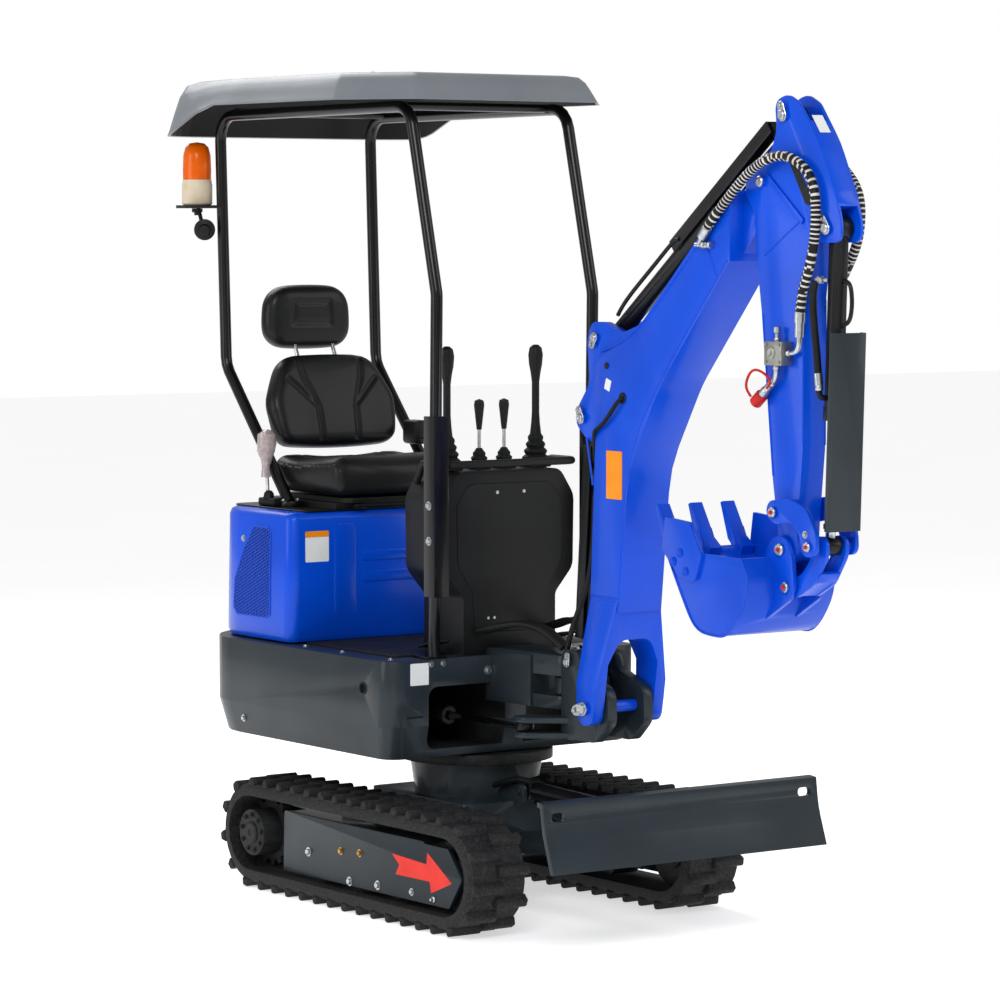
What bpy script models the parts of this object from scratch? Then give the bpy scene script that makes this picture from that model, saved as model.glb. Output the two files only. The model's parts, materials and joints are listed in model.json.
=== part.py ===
"""A one-tonne tracked mini excavator with a swing boom, a dozer blade and a canopy.

Metres, +Z up. The machine faces -Y, its left side is +X, and it stands on z = 0. Every
place below is measured from the slew axis, which the root empty sets behind the origin so
that the whole object's box is centred on it.
"""

import math

import bmesh
import bpy
from mathutils import Matrix, Vector

# ---- driving dimensions -------------------------------------------------------------

SLEW_AXIS_Y = 0.2884  # the slew axis, behind the middle of the whole object
FIT_GAP = 0.0003  # between two pieces that rest on each other
PIN_GAP = 0.0015  # radial, between a pin and its bore

TRACK_OUTER_X = 0.45
TRACK_WIDTH = 0.18
WHEEL_Y = 0.4825  # half the wheelbase
TRACK_LINKS = 37
PITCH_RADIUS = 0.118  # of the belt's cords round each end wheel
LUG_HEIGHT = 0.040  # lug tops, belt face and inner face, from the cords
BELT_FACE = 0.020
BELT_INNER = -0.012
AXLE_Z = PITCH_RADIUS + LUG_HEIGHT

RING_TOP_Z = 0.424
DECK_BOTTOM_Z = 0.430
DECK_TOP_Z = 0.700
DECK_HALF_WIDTH = 0.425
DECK_FRONT_Y = -0.190
DECK_REAR_Y = 0.830
HOOD_HALF_WIDTH = 0.395
HOOD_FRONT_Y = 0.350
HOOD_REAR_Y = 0.815
HOOD_TOP_Z = 1.070

POST_X = 0.262
POST_RADIUS = 0.0165
ROOF_RIM_Z = 2.215
ROOF_TOP_Z = 2.295

# Joint centres of the working gear, as (y, z), at rest.
SWING_PIN_Y = -0.450
BOOM_FOOT = (-0.667, 0.601)
BOOM_RAM_LOW = (-0.542, 0.711)
BOOM_RAM_HIGH = (-0.590, 1.366)
ARM_RAM_LOW = (-0.647, 1.580)
ARM_PIVOT = (-1.305, 1.985)
ARM_RAM_HIGH = (-1.390, 2.149)
BUCKET_RAM_HIGH = (-1.558, 1.869)
BUCKET_RAM_LOW = (-1.530, 1.084)
ROCKER_PIN = (-1.394, 1.162)
BUCKET_PIVOT = (-1.403, 1.069)
LINK_PIN = (-1.424, 0.976)
BLADE_PIVOT = (-0.330, 0.200)
BLADE_RAM_REAR = (-0.262, 0.330)
BLADE_RAM_FRONT = (-0.800, 0.315)
SWING_RAM_REAR = (-0.200, 0.250)  # (x, y)
SWING_RAM_FRONT = (-0.140, -0.430)
SWING_RAM_Z = 0.5325

ARM_HALF_WIDTH = 0.036
HEAD_GAP = 0.0275  # half the space between the arm head's plates
BOOM_HALF_WIDTH = 0.070
BUCKET_HALF_WIDTH = 0.140
ARC_STEP = math.radians(15)


# ---- modelling helpers --------------------------------------------------------------


def clear_scene():
    for obj in list(bpy.data.objects):
        bpy.data.objects.remove(obj, do_unlink=True)


def paint(name, colour, metallic, roughness):
    material = bpy.data.materials.new(name)
    material.use_nodes = True
    shader = material.node_tree.nodes["Principled BSDF"]
    shader.inputs["Base Color"].default_value = (*colour, 1.0)
    shader.inputs["Metallic"].default_value = metallic
    shader.inputs["Roughness"].default_value = roughness
    return material


def empty(name, parent, place):
    obj = bpy.data.objects.new(name, None)
    bpy.context.scene.collection.objects.link(obj)
    obj.parent = parent
    obj.location = place
    return obj


def mesh_object(shape):
    """A helper object from a bmesh, in the slew axis's frame."""
    bmesh.ops.recalc_face_normals(shape, faces=shape.faces)
    mesh = bpy.data.meshes.new("shape")
    shape.to_mesh(mesh)
    shape.free()
    mesh.shade_smooth()
    mesh.set_sharp_from_angle(angle=math.radians(35))
    obj = bpy.data.objects.new("shape", mesh)
    bpy.context.scene.collection.objects.link(obj)
    obj.parent = ROOT
    obj.hide_render = True
    obj.display_type = "WIRE"
    return obj


def rounded(corners):
    """An outline from corners (a, b) or (a, b, radius), each radius drawn as an arc.

    A radius too large for the corner's two edges is made smaller.
    """
    outline = []
    for index, corner in enumerate(corners):
        here = Vector(corner[:2])
        if len(corner) == 2:
            outline.append(tuple(here))
            continue
        before = Vector(corners[index - 1][:2]) - here
        after = Vector(corners[(index + 1) % len(corners)][:2]) - here
        half = before.angle(after) / 2
        longest = 0.48 * min(before.length, after.length)
        radius = min(corner[2], longest * math.tan(half))
        before.normalize()
        after.normalize()
        centre = here + (before + after).normalized() * (radius / math.sin(half))
        start = here + before * (radius / math.tan(half)) - centre
        turn = math.pi - 2 * half
        if before.x * after.y - before.y * after.x > 0:
            turn = -turn
        steps = max(2, round(abs(turn) / ARC_STEP))
        for step in range(steps + 1):
            spoke = Matrix.Rotation(turn * step / steps, 2) @ start
            outline.append(tuple(centre + spoke))
    return outline


PLANES = {
    "x": lambda a, b, c: (c, a, b),
    "y": lambda a, b, c: (a, c, b),
    "z": lambda a, b, c: (a, b, c),
}


def prism(outline, axis, low, high, end_scale=None, about=(0.0, 0.0)):
    """An outline pushed along an axis, its far end scaled about a point if asked."""
    place = PLANES[axis]
    shape = bmesh.new()
    near = [shape.verts.new(place(a, b, low)) for a, b in outline]
    floor = shape.faces.new(near)
    raised = bmesh.ops.extrude_face_region(shape, geom=[floor])["geom"]
    far = [v for v in raised if isinstance(v, bmesh.types.BMVert)]
    bmesh.ops.translate(shape, verts=far, vec=Vector(place(0, 0, high - low)))
    if end_scale:
        size = Vector(place(end_scale[0], end_scale[1], 1))
        centre = Matrix.Translation(-Vector(place(about[0], about[1], 0)))
        bmesh.ops.scale(shape, verts=far, vec=size, space=centre)
    return mesh_object(shape)


def box(x, y, z):
    return prism([(x[0], y[0]), (x[1], y[0]), (x[1], y[1]), (x[0], y[1])], "z", *z)


def rod(start, end, radius, sides=16, end_radius=None):
    """A cylinder, or a cone, from one point to another."""
    start, end = Vector(start), Vector(end)
    shape = bmesh.new()
    along = end - start
    turn = along.to_track_quat("Z", "Y").to_matrix().to_4x4()
    bmesh.ops.create_cone(
        shape,
        cap_ends=True,
        segments=sides,
        radius1=radius,
        radius2=radius if end_radius is None else end_radius,
        depth=along.length,
        matrix=Matrix.Translation((start + end) / 2) @ turn,
    )
    return mesh_object(shape)


def cross_pin(place, half_length, radius, sides=16, x=0.0):
    """A cylinder along X through (y, z)."""
    y, z = place
    return rod((x - half_length, y, z), (x + half_length, y, z), radius, sides)


def turned(place, profile, sides=20):
    """A solid of revolution about a vertical axis, from (radius, height) pairs."""
    shape = bmesh.new()
    x, y, z = place
    line = [shape.verts.new((x + r, y, z + h)) for r, h in profile]
    edges = [shape.edges.new(pair) for pair in zip(line, line[1:])]
    bmesh.ops.spin(
        shape,
        geom=line + edges,
        cent=(x, y, z),
        axis=(0, 0, 1),
        angle=math.tau,
        steps=sides,
        use_merge=True,
    )
    bmesh.ops.remove_doubles(shape, verts=shape.verts, dist=1e-5)
    return mesh_object(shape)


def bent_tube(points, radius, sides=12):
    """A tube along a polyline, mitred at its bends."""
    points = [Vector(p) for p in points]
    shape = bmesh.new()
    rings = []
    for index, point in enumerate(points):
        ahead = points[min(index + 1, len(points) - 1)] - points[max(index - 1, 0)]
        turn = ahead.to_track_quat("Z", "X").to_matrix().to_4x4()
        ring = bmesh.ops.create_circle(
            shape, segments=sides, radius=radius, matrix=Matrix.Translation(point) @ turn
        )["verts"]
        rings.append(ring)
    for first, second in zip(rings, rings[1:]):
        sides_of = [e for ring in (first, second) for v in ring for e in v.link_edges]
        loops = {e for e in sides_of if e.other_vert(e.verts[0]) in first or e.verts[0] in second}
        edges = [e for e in loops if not e.is_manifold and all_in(e, first, second)]
        bmesh.ops.bridge_loops(shape, edges=edges)
    for ring in (rings[0], rings[-1]):
        shape.faces.new(ring)
    return mesh_object(shape)


def all_in(edge, first, second):
    ends = set(edge.verts)
    return ends <= set(first) or ends <= set(second)


def filleted(points, radius):
    """A polyline in space whose inner corners are drawn as arcs of this radius."""
    points = [Vector(p) for p in points]
    path = [points[0]]
    for before, here, after in zip(points, points[1:], points[2:]):
        back = (before - here).normalized()
        ahead = (after - here).normalized()
        half = back.angle(ahead) / 2
        reach = radius / math.tan(half)
        centre = here + (back + ahead).normalized() * (radius / math.sin(half))
        axis = back.cross(ahead)
        start = here + back * reach - centre
        turn = -(math.pi - 2 * half)
        steps = max(2, round(abs(turn) / math.radians(20)))
        for step in range(steps + 1):
            path.append(centre + Matrix.Rotation(turn * step / steps, 3, axis) @ start)
    path.append(points[-1])
    return path


def combine(operation, base, tools):
    for tool in tools:
        modifier = base.modifiers.new(operation.lower(), "BOOLEAN")
        modifier.operation = operation
        modifier.object = tool
        modifier.solver = "EXACT"
    return base


def union(base, *others):
    return combine("UNION", base, others)


def cut(base, *tools):
    return combine("DIFFERENCE", base, tools)


def common(base, tool):
    return combine("INTERSECT", base, [tool])


def node(name, shape, material, body):
    """Makes a helper a named piece of the object, with its origin on its body's joint."""
    shape.name = name
    shape.data.name = name
    shape.data.materials.clear()
    shape.data.materials.append(material)
    shape.data.transform(Matrix.Translation(-body["pivot"]))
    shape.parent = body["empty"]
    shape.hide_render = False
    shape.display_type = "SOLID"
    return shape


def body(name, parent, pivot):
    """A moving body: an empty on its joint, under the body that carries it."""
    pivot = Vector(pivot)
    return {
        "empty": empty(name, parent["empty"], pivot - parent["pivot"]),
        "pivot": pivot,
    }


def side(place):
    """A joint centre (y, z) as a point on the middle plane."""
    return (0.0, place[0], place[1])


# ---- undercarriage ------------------------------------------------------------------


def on_track(distance, offset):
    """The point (y, z) this far along the belt's cords and out from them."""
    straight = 2 * WHEEL_Y
    arc = math.pi * PITCH_RADIUS
    distance %= 2 * (straight + arc)
    reach = PITCH_RADIUS + offset
    half, along = divmod(distance, straight + arc)
    sign = 1 - 2 * half
    if along < straight:
        y, z = -WHEEL_Y + along, reach
    else:
        angle = (along - straight) / PITCH_RADIUS
        y, z = WHEEL_Y + reach * math.sin(angle), reach * math.cos(angle)
    return sign * y, AXLE_Z + sign * z


def build_track(name, hand, body_of):
    """A rubber belt with a lug on each link, as one closed loop."""
    pitch = 2 * (2 * WHEEL_Y + math.pi * PITCH_RADIUS) / TRACK_LINKS
    lug = ((0.0, LUG_HEIGHT), (0.2, LUG_HEIGHT), (0.4, LUG_HEIGHT), (0.5, BELT_FACE), (0.9, BELT_FACE))
    outer = [
        on_track((link + share) * pitch, offset)
        for link in range(TRACK_LINKS)
        for share, offset in lug
    ]
    inner = [on_track(step * pitch / 3, BELT_INNER) for step in range(3 * TRACK_LINKS)]
    near, far = sorted((hand * (TRACK_OUTER_X - TRACK_WIDTH), hand * TRACK_OUTER_X))
    belt = prism(outer, "x", near, far)
    cut(belt, prism(inner, "x", near - 0.01, far + 0.01))
    node(name, belt, RUBBER, body_of)


def build_track_frame(name, hand, body_of):
    """The side beam with its cover plate, motor plate and three rollers."""

    def across(low, high):
        return sorted((hand * low, hand * high))

    beam = prism(
        rounded([(-0.37, 0.095), (0.33, 0.095), (0.335, 0.235, 0.01), (-0.36, 0.235, 0.01)]),
        "x",
        *across(0.3, 0.4195),
    )
    cover = rounded(
        [(-0.475, 0.070), (0.345, 0.066), (0.34, 0.237, 0.01), (-0.47, 0.229), (-0.535, 0.155, 0.01)]
    )
    motor_plate = rounded([(0.2, 0.10), (0.54, 0.09, 0.05), (0.54, 0.226, 0.05), (0.2, 0.22)])
    idler_plate = rounded([(-0.52, 0.13, 0.02), (-0.2, 0.12), (-0.2, 0.2), (-0.52, 0.186, 0.02)])
    pieces = [
        prism(cover, "x", *across(0.408, 0.42)),
        prism(motor_plate, "x", *across(0.3, 0.312)),
        prism(idler_plate, "x", *across(0.3, 0.312)),
    ]
    for y in (-0.2, 0.0, 0.2):
        pieces.append(cross_pin((y, 0.0905), 0.045, 0.034, 18, x=hand * 0.355))
    node(name, union(beam, *pieces), FRAME_PAINT, body_of)


def build_wheels(side_name, hand, body_of):
    """The drive sprocket with its hub, and the front idler wheel."""
    teeth = []
    for tooth in range(15):
        for share, radius in ((0.0, 0.100), (0.35, 0.100), (0.5, 0.086), (0.85, 0.086)):
            angle = math.tau * (tooth + share) / 15
            teeth.append((WHEEL_Y + radius * math.cos(angle), AXLE_Z + radius * math.sin(angle)))
    low, high = sorted((hand * 0.345, hand * 0.375))
    hub_low, hub_high = sorted((hand * 0.3153, hand * 0.44))
    sprocket = union(
        prism(teeth, "x", low, high),
        rod((hub_low, WHEEL_Y, AXLE_Z), (hub_high, WHEEL_Y, AXLE_Z), 0.066, 24),
    )
    node("sprocket_" + side_name, sprocket, HUB_PAINT, body_of)
    idler_y = -WHEEL_Y
    idler = union(
        cross_pin((idler_y, AXLE_Z), 0.035, 0.098, 32, x=hand * 0.36),
        cross_pin((idler_y, AXLE_Z), 0.045, 0.045, 24, x=hand * 0.36),
    )
    node("idler_" + side_name, idler, HUB_PAINT, body_of)


def build_centre_frame(body_of):
    """The box and legs between the track beams, with the blade's ears, and the slew ring."""
    legs = [box((-0.2997, 0.2997), (y - 0.055, y + 0.055), (0.14, 0.245)) for y in (-0.17, 0.17)]
    deck = prism(rounded([(-0.2, -0.24, 0.03), (0.2, -0.24, 0.03), (0.2, 0.24, 0.03), (-0.2, 0.24,
            0.03)]), "z", 0.15, 0.30)
    tower = rod((0, 0, 0.29), (0, 0, 0.395), 0.17, 32, end_radius=0.185)
    y, z = BLADE_PIVOT
    ears = [
        prism(rounded([(y - 0.03, z - 0.03, 0.029), (-0.2, z - 0.05), (-0.2, z + 0.05), (y - 0.03,
                z + 0.03, 0.029)]), "x", x - 0.01, x + 0.01)
        for x in (-0.155, -0.085, 0.085, 0.155)
    ]
    pins = [cross_pin(BLADE_PIVOT, 0.052, 0.012, x=x) for x in (-0.12, 0.12)]
    y, z = BLADE_RAM_REAR
    ram_ears = [
        prism(rounded([(y - 0.022, z + 0.022, 0.02), (y - 0.022, z - 0.03), (-0.2, z - 0.06), (-0.15,
                z - 0.03), (-0.2, z + 0.022)]), "x", x - 0.006, x + 0.006)
        for x in (-0.034, 0.034)
    ]
    ram_pin = cross_pin(BLADE_RAM_REAR, 0.044, 0.009)
    node("centre_frame", union(deck, *legs, tower, *ears, *pins, *ram_ears, ram_pin), FRAME_PAINT, body_of)
    ring = rod((0, 0, 0.395 + FIT_GAP), (0, 0, RING_TOP_Z), 0.215, 36)
    node("slew_ring", ring, HUB_PAINT, body_of)


def build_blade(body_of):
    """The dozer blade on its two arms: a curved plate with a folded top lip."""
    front = rounded([(-0.915, 0.409), (-0.942, 0.406), (-0.952, 0.33, 0.25), (-0.988, 0.2295)])
    back = [(-0.972, 0.2295), (-0.938, 0.33), (-0.927, 0.394), (-0.915, 0.397)]
    plate = prism(front + back, "x", -0.45, 0.45)
    slots = [
        prism(rounded([(x - 0.022, 0.358, 0.011), (x + 0.022, 0.358, 0.011), (x + 0.022, 0.382, 0.011),
                (x - 0.022, 0.382, 0.011)]), "y", -1.0, -0.9)
        for x in (-0.405, 0.405)
    ]
    y, z = BLADE_PIVOT
    arm = rounded([(y + 0.028, z - 0.028, 0.027), (y + 0.028, z + 0.028, 0.027), (-0.945, 0.325),
            (-0.955, 0.255), (-0.90, 0.235)])
    arms = [prism(arm, "x", x - 0.018, x + 0.018) for x in (-0.12, 0.12)]
    bores = [cross_pin(BLADE_PIVOT, 0.03, 0.012 + PIN_GAP, x=x) for x in (-0.12, 0.12)]
    tie = box((-0.125, 0.125), (-0.80, -0.74), (0.235, 0.262))
    ear_y, ear_z = BLADE_RAM_FRONT
    ears = [
        prism(rounded([(ear_y + 0.024, ear_z + 0.02, 0.018), (ear_y + 0.03, 0.24), (-0.945, 0.24),
                (-0.94, ear_z + 0.02)]), "x", x - 0.006, x + 0.006)
        for x in (-0.034, 0.034)
    ]
    stubs = [cross_pin(BLADE_RAM_FRONT, 0.006, 0.011, x=x) for x in (-0.042, 0.042)]
    blade = cut(union(plate, *arms, tie, *ears, *stubs), *slots, *bores)
    node("dozer_blade", blade, FRAME_PAINT, body_of)


# ---- hydraulic rams -----------------------------------------------------------------


def build_ram(name, low, high, barrel_reach, stem_start, bodies, radius=0.024, rod_radius=0.0125,
              eye=0.022, guard=None, flip=False):
    """A ram between two points: a barrel on the first and a rod on the second.

    Its rod starts stem_start along it, deep enough inside the barrel for its whole stroke.
    guard is (start, end, side, half width, stand-off, flange depth): a channel that the rod
    carries over this stretch from the first point, standing off on that side of the ram.
    """
    low, high = Vector(low), Vector(high)
    along = (high - low).normalized()
    across = Vector((1, 0, 0)) if not flip else Vector((0, 0, 1))
    barrel = union(
        rod(low + along * 0.018, low + along * barrel_reach, radius, 20),
        rod(low - across * eye, low + across * eye, radius + 0.006, 20),
        rod(low + along * (barrel_reach - 0.03), low + along * (barrel_reach + 0.004), radius + 0.0025, 20),
    )
    bore = rod(low - across * 0.05, low + across * 0.05, 0.009 + PIN_GAP, 16)
    well = rod(low + along * 0.04, low + along * (barrel_reach + 0.02), rod_radius + 0.002, 16)
    node(name + "_barrel", cut(barrel, bore, well), RAM_PAINT, bodies[0])
    stem = union(
        rod(low + along * stem_start, high - along * 0.015, rod_radius, 16),
        rod(high - across * (eye - 0.003), high + across * (eye - 0.003), radius, 20),
    )
    if guard:
        start, end, facing, half, stand_off, flange = guard
        normal = Vector(facing)
        normal = (normal - along * normal.dot(along)).normalized()
        frame = Matrix((along.cross(normal), normal, along)).transposed().to_4x4()
        frame.translation = low
        wall = 0.003
        deep = stand_off - flange
        channel = [(-half, deep), (-half, stand_off), (half, stand_off), (half, deep), (half - wall, deep),
                   (half - wall, stand_off - wall), (wall - half, stand_off - wall), (wall - half, deep)]
        cover = prism(channel, "z", start, end)
        foot = prism([(-0.018, 0.0), (-0.018, stand_off - 0.001), (0.018, stand_off - 0.001), (0.018,
                0.0)], "z", end - 0.014, end - 0.002)
        for piece in (cover, foot):
            piece.data.transform(frame)
        neck = rod(low + along * (end - 0.014), low + along * (end - 0.002), rod_radius + 0.006, 16)
        union(stem, cover, foot, neck)
    node(name + "_rod", stem, RAM_PAINT, bodies[1])


# ---- upper structure ----------------------------------------------------------------


def deck_outline(half_width, front, rear, tail_radius, front_radius):
    """A deck's plan: square at the front, with a wide round tail."""
    return rounded(
        [
            (-half_width, front, front_radius),
            (half_width, front, front_radius),
            (half_width, rear, tail_radius),
            (-half_width, rear, tail_radius),
        ]
    )


def build_deck(body_of):
    """The cast skirt and deck, with the swing ram's pocket and the boom's swing mount."""
    plan = deck_outline(DECK_HALF_WIDTH, DECK_FRONT_Y, DECK_REAR_Y, 0.21, 0.05)
    upper = prism(plan, "z", 0.52, DECK_TOP_Z)
    lower = prism(plan, "z", 0.5205, DECK_BOTTOM_Z, end_scale=(0.955, 0.955), about=(0, 0.28))
    pocket = prism(rounded([(-0.29, 0.452, 0.03), (-0.035, 0.452), (-0.035, 0.625), (-0.29, 0.625,
            0.03)]), "y", -0.25, 0.34)
    twin_pocket = prism(rounded([(0.29, 0.452, 0.03), (0.035, 0.452), (0.035, 0.625), (0.29, 0.625,
            0.03)]), "y", -0.25, -0.05)
    lug_plan = rounded([(-0.085, -0.167), (-0.05, SWING_PIN_Y - 0.049, 0.048), (0.05,
            SWING_PIN_Y - 0.049, 0.048), (0.085, -0.167)])
    lugs = [prism(lug_plan, "z", 0.665, 0.72), prism(lug_plan, "z", 0.575, 0.61)]
    web = prism([(-0.085, -0.168), (-0.072, -0.36), (0.072, -0.36), (0.085, -0.168)], "z", 0.5755, 0.715)
    pin = rod((0, SWING_PIN_Y, 0.568), (0, SWING_PIN_Y, 0.735), 0.018, 20)
    x, y = SWING_RAM_REAR
    ram_pin = rod((x, y, 0.44), (x, y, 0.64), 0.009, 16)
    side_bores = [rod((hand * 0.46, -0.07, 0.62), (hand * 0.405, -0.07, 0.62), 0.014,
            20) for hand in (-1, 1)]
    deck = cut(union(upper, lower), pocket, twin_pocket, *side_bores)
    node("deck", union(deck, *lugs, web, pin, ram_pin), FRAME_PAINT, body_of)


def build_hood(body_of):
    """The engine's cover, a shell open below, and the engine inside it."""
    plan = deck_outline(HOOD_HALF_WIDTH, HOOD_FRONT_Y, HOOD_REAR_Y, 0.19, 0.035)
    shell = prism(plan, "z", DECK_TOP_Z + FIT_GAP, HOOD_TOP_Z, end_scale=(0.985, 0.985), about=(0, 0.5))
    bevel = shell.modifiers.new("bevel", "BEVEL")
    bevel.width = 0.02
    bevel.segments = 2
    bevel.limit_method = "ANGLE"
    bevel.angle_limit = math.radians(60)
    inner = deck_outline(HOOD_HALF_WIDTH - 0.012, HOOD_FRONT_Y + 0.012, HOOD_REAR_Y - 0.012, 0.178, 0.023)
    hollow = prism(inner, "z", DECK_TOP_Z - 0.05, HOOD_TOP_Z - 0.012, end_scale=(0.983, 0.983), about=(0,
            0.5))
    node("hood", cut(shell, hollow), BLUE_PAINT, body_of)
    engine = box((-0.24, 0.24), (0.42, 0.74), (DECK_TOP_Z + FIT_GAP, 1.0))
    node("engine_block", engine, HUB_PAINT, body_of)


def build_floor(body_of):
    mat = prism(rounded([(-0.34, -0.10, 0.02), (0.34, -0.10, 0.02), (0.34, 0.345), (-0.34, 0.345)]), "z",
            DECK_TOP_Z + FIT_GAP, 0.706)
    console_foot = box((-0.158, 0.158), (-0.17, 0.033), (0.69, 0.72))
    node("floor_mat", cut(mat, console_foot), RUBBER, body_of)


def build_seat(body_of):
    """The seat's slide, cushion, back and headrest. The soft pieces stay plain."""
    base = union(
        box((-0.225, 0.185), (0.37, 0.74), (HOOD_TOP_Z + FIT_GAP, 1.092)),
        prism(rounded([(-0.20, 0.35, 0.03), (0.16, 0.35, 0.03), (0.16, 0.71, 0.03), (-0.20, 0.71,
                0.03)]), "z", 1.091, 1.105),
    )
    node("seat_base", base, BLACK_PLASTIC, body_of)
    cushion = prism(
        rounded([(0.325, 1.108, 0.02), (0.70, 1.108), (0.70, 1.222), (0.58, 1.212), (0.335, 1.235, 0.045)]),
        "x", -0.238, 0.205,
    )
    node("seat_cushion", cushion, BLACK_VINYL, body_of)
    low, high = Vector((0, 0.70, 1.232)), Vector((0, 0.7806, 1.505))
    back_plan = rounded(
        [(-0.215, low.z, 0.03), (0.195, low.z, 0.03), (0.205, 1.37, 0.06), (0.145, high.z, 0.07),
         (-0.165, high.z, 0.07), (-0.225, 1.37, 0.06)]
    )
    back = prism(back_plan, "y", -0.045, 0.045)
    lean = math.atan2(high.y - low.y, high.z - low.z)
    tilt = Matrix.Translation(low) @ Matrix.Rotation(-lean, 4, "X") @ Matrix.Translation((0, 0, -low.z))
    back.data.transform(tilt)
    stems = [rod((x, 0.785, 1.46), (x, 0.822, 1.545), 0.006, 12) for x in (-0.085, 0.045)]
    node("seat_back", union(back, *stems), BLACK_VINYL, body_of)
    rest_plan = rounded([(-0.183, 1.514, 0.05), (0.117, 1.514, 0.05), (0.107, 1.702, 0.055), (-0.173,
            1.702, 0.055)])
    rest = prism(rest_plan, "y", 0.79, 0.87)
    sockets = [rod((x, 0.776, 1.44), (x, 0.8307, 1.565), 0.0066, 12) for x in (-0.085, 0.045)]
    node("headrest", cut(rest, *sockets), BLACK_VINYL, body_of)


def build_console(body_of):
    """The control tower in front of the driver, solid, with its grab rail and levers."""
    face = rounded(
        [(-0.155, DECK_TOP_Z + FIT_GAP), (0.155, DECK_TOP_Z + FIT_GAP), (0.155, 0.86, 0.03), (0.215,
                0.93, 0.05), (0.218, 1.13, 0.05),
         (0.17, 1.205, 0.04), (-0.17, 1.205, 0.04), (-0.218, 1.13, 0.05), (-0.215, 0.93, 0.05), (-0.155,
                 0.86, 0.03)]
    )
    shell = prism(face, "y", -0.162, 0.03)
    rail = bent_tube(filleted([(-0.2, 0.0, 1.17), (-0.214, -0.05, 1.225), (-0.214, -0.178, 1.225),
            (0.214, -0.178, 1.225), (0.214, -0.05, 1.225), (0.2, 0.0, 1.17)], 0.03), 0.011)
    console = union(shell, rail)
    node("console", console, BLACK_PLASTIC, body_of)
    base = 1.205 + FIT_GAP
    long_lever = [(0.0, 0.0), (0.044, 0.0), (0.044, 0.02), (0.034, 0.06), (0.02, 0.10), (0.011, 0.12),
            (0.010, 0.20),
                  (0.014, 0.23), (0.019, 0.27), (0.021, 0.315), (0.014, 0.335), (0.0, 0.34)]
    short_lever = [(0.0, 0.0), (0.034, 0.0), (0.034, 0.012), (0.022, 0.045), (0.006, 0.072), (0.006, 0.12),
                   (0.013, 0.15), (0.015, 0.175), (0.010, 0.19), (0.0, 0.194)]
    for name, x, profile in (
        ("joystick_right", -0.15, long_lever),
        ("travel_lever_right", -0.042, short_lever),
        ("travel_lever_left", 0.042, short_lever),
        ("joystick_left", 0.15, long_lever),
    ):
        node(name, turned((x, -0.075, base), profile, 16), BLACK_PLASTIC, body_of)


def build_canopy(body_of):
    """Two bent post hoops with cross bars, the moulded roof on them, and the beacon."""
    hoops = []
    for x in (-POST_X, POST_X):
        path = [(x, 0.558, HOOD_TOP_Z + 0.014), (x, 0.900, 1.468), (x, 0.930, 2.195), (x, -0.062, 2.200),
                (x, -0.190, 1.690), (x, -0.175, 0.705)]
        hoops.append(bent_tube(filleted(path, 0.07), POST_RADIUS))
        hoops.append(rod((x, 0.552, HOOD_TOP_Z + FIT_GAP), (x, 0.552, HOOD_TOP_Z + 0.02), 0.036, 20))
        hoops.append(box((x - 0.034, x + 0.034), (-0.189, -0.121), (DECK_TOP_Z + FIT_GAP, 0.707)))
        hoops.append(box((x - 0.024, x + 0.024), (-0.212, -0.162), (0.87, 1.36)))
    bars = [rod((-POST_X, y, 2.203), (POST_X, y, 2.203), 0.012, 12) for y in (0.02, 0.84)]
    shelf = box((-0.362, -POST_X), (0.905, 1.015), (1.926, 1.935))
    node("canopy_frame", union(*hoops, *bars, shelf), BLACK_PAINT, body_of)
    plan = rounded([(-0.305, -0.155, 0.03), (0.305, -0.155, 0.03), (0.45, 0.03, 0.03), (0.45, 1.03,
            0.13), (-0.45, 1.03, 0.13), (-0.45, 0.03, 0.03)])
    roof = prism(plan, "z", ROOF_RIM_Z, ROOF_TOP_Z, end_scale=(0.90, 0.93), about=(0, 0.45))
    hollow = prism(plan, "z", ROOF_RIM_Z - 0.01, ROOF_TOP_Z - 0.010, end_scale=(0.885, 0.915), about=(0,
            0.45))
    hollow.data.transform(Matrix.Translation((0, 0.45, 0)) @ Matrix.Diagonal((0.982, 0.982, 1,
            1)) @ Matrix.Translation((0, -0.45, 0)))
    skirt_plan = rounded([(0.45, 0.88), (0.45, 1.03, 0.13), (-0.45, 1.03, 0.13), (-0.45, 0.88)])
    skirt_plan += rounded([(-0.438, 0.88), (-0.438, 1.018, 0.118), (0.438, 1.018, 0.118), (0.438, 0.88)])
    skirt = prism(skirt_plan, "z", 2.132, 2.222)
    saddles = [rod((x, y, 2.2205), (x, y, 2.288), 0.012, 12) for x in (-POST_X, POST_X) for y in (0.12,
            0.74)]
    node("canopy_roof", union(cut(roof, hollow), skirt, *saddles), ROOF_PLASTIC, body_of)
    lamp = [(0.0, 0.0), (0.045, 0.0), (0.045, 0.078), (0.040, 0.084), (0.042, 0.15), (0.030, 0.178),
            (0.0, 0.184)]
    node("beacon", turned((-0.312, 0.978, 1.935 + FIT_GAP), lamp, 20), AMBER, body_of)


# ---- working gear -------------------------------------------------------------------


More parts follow.
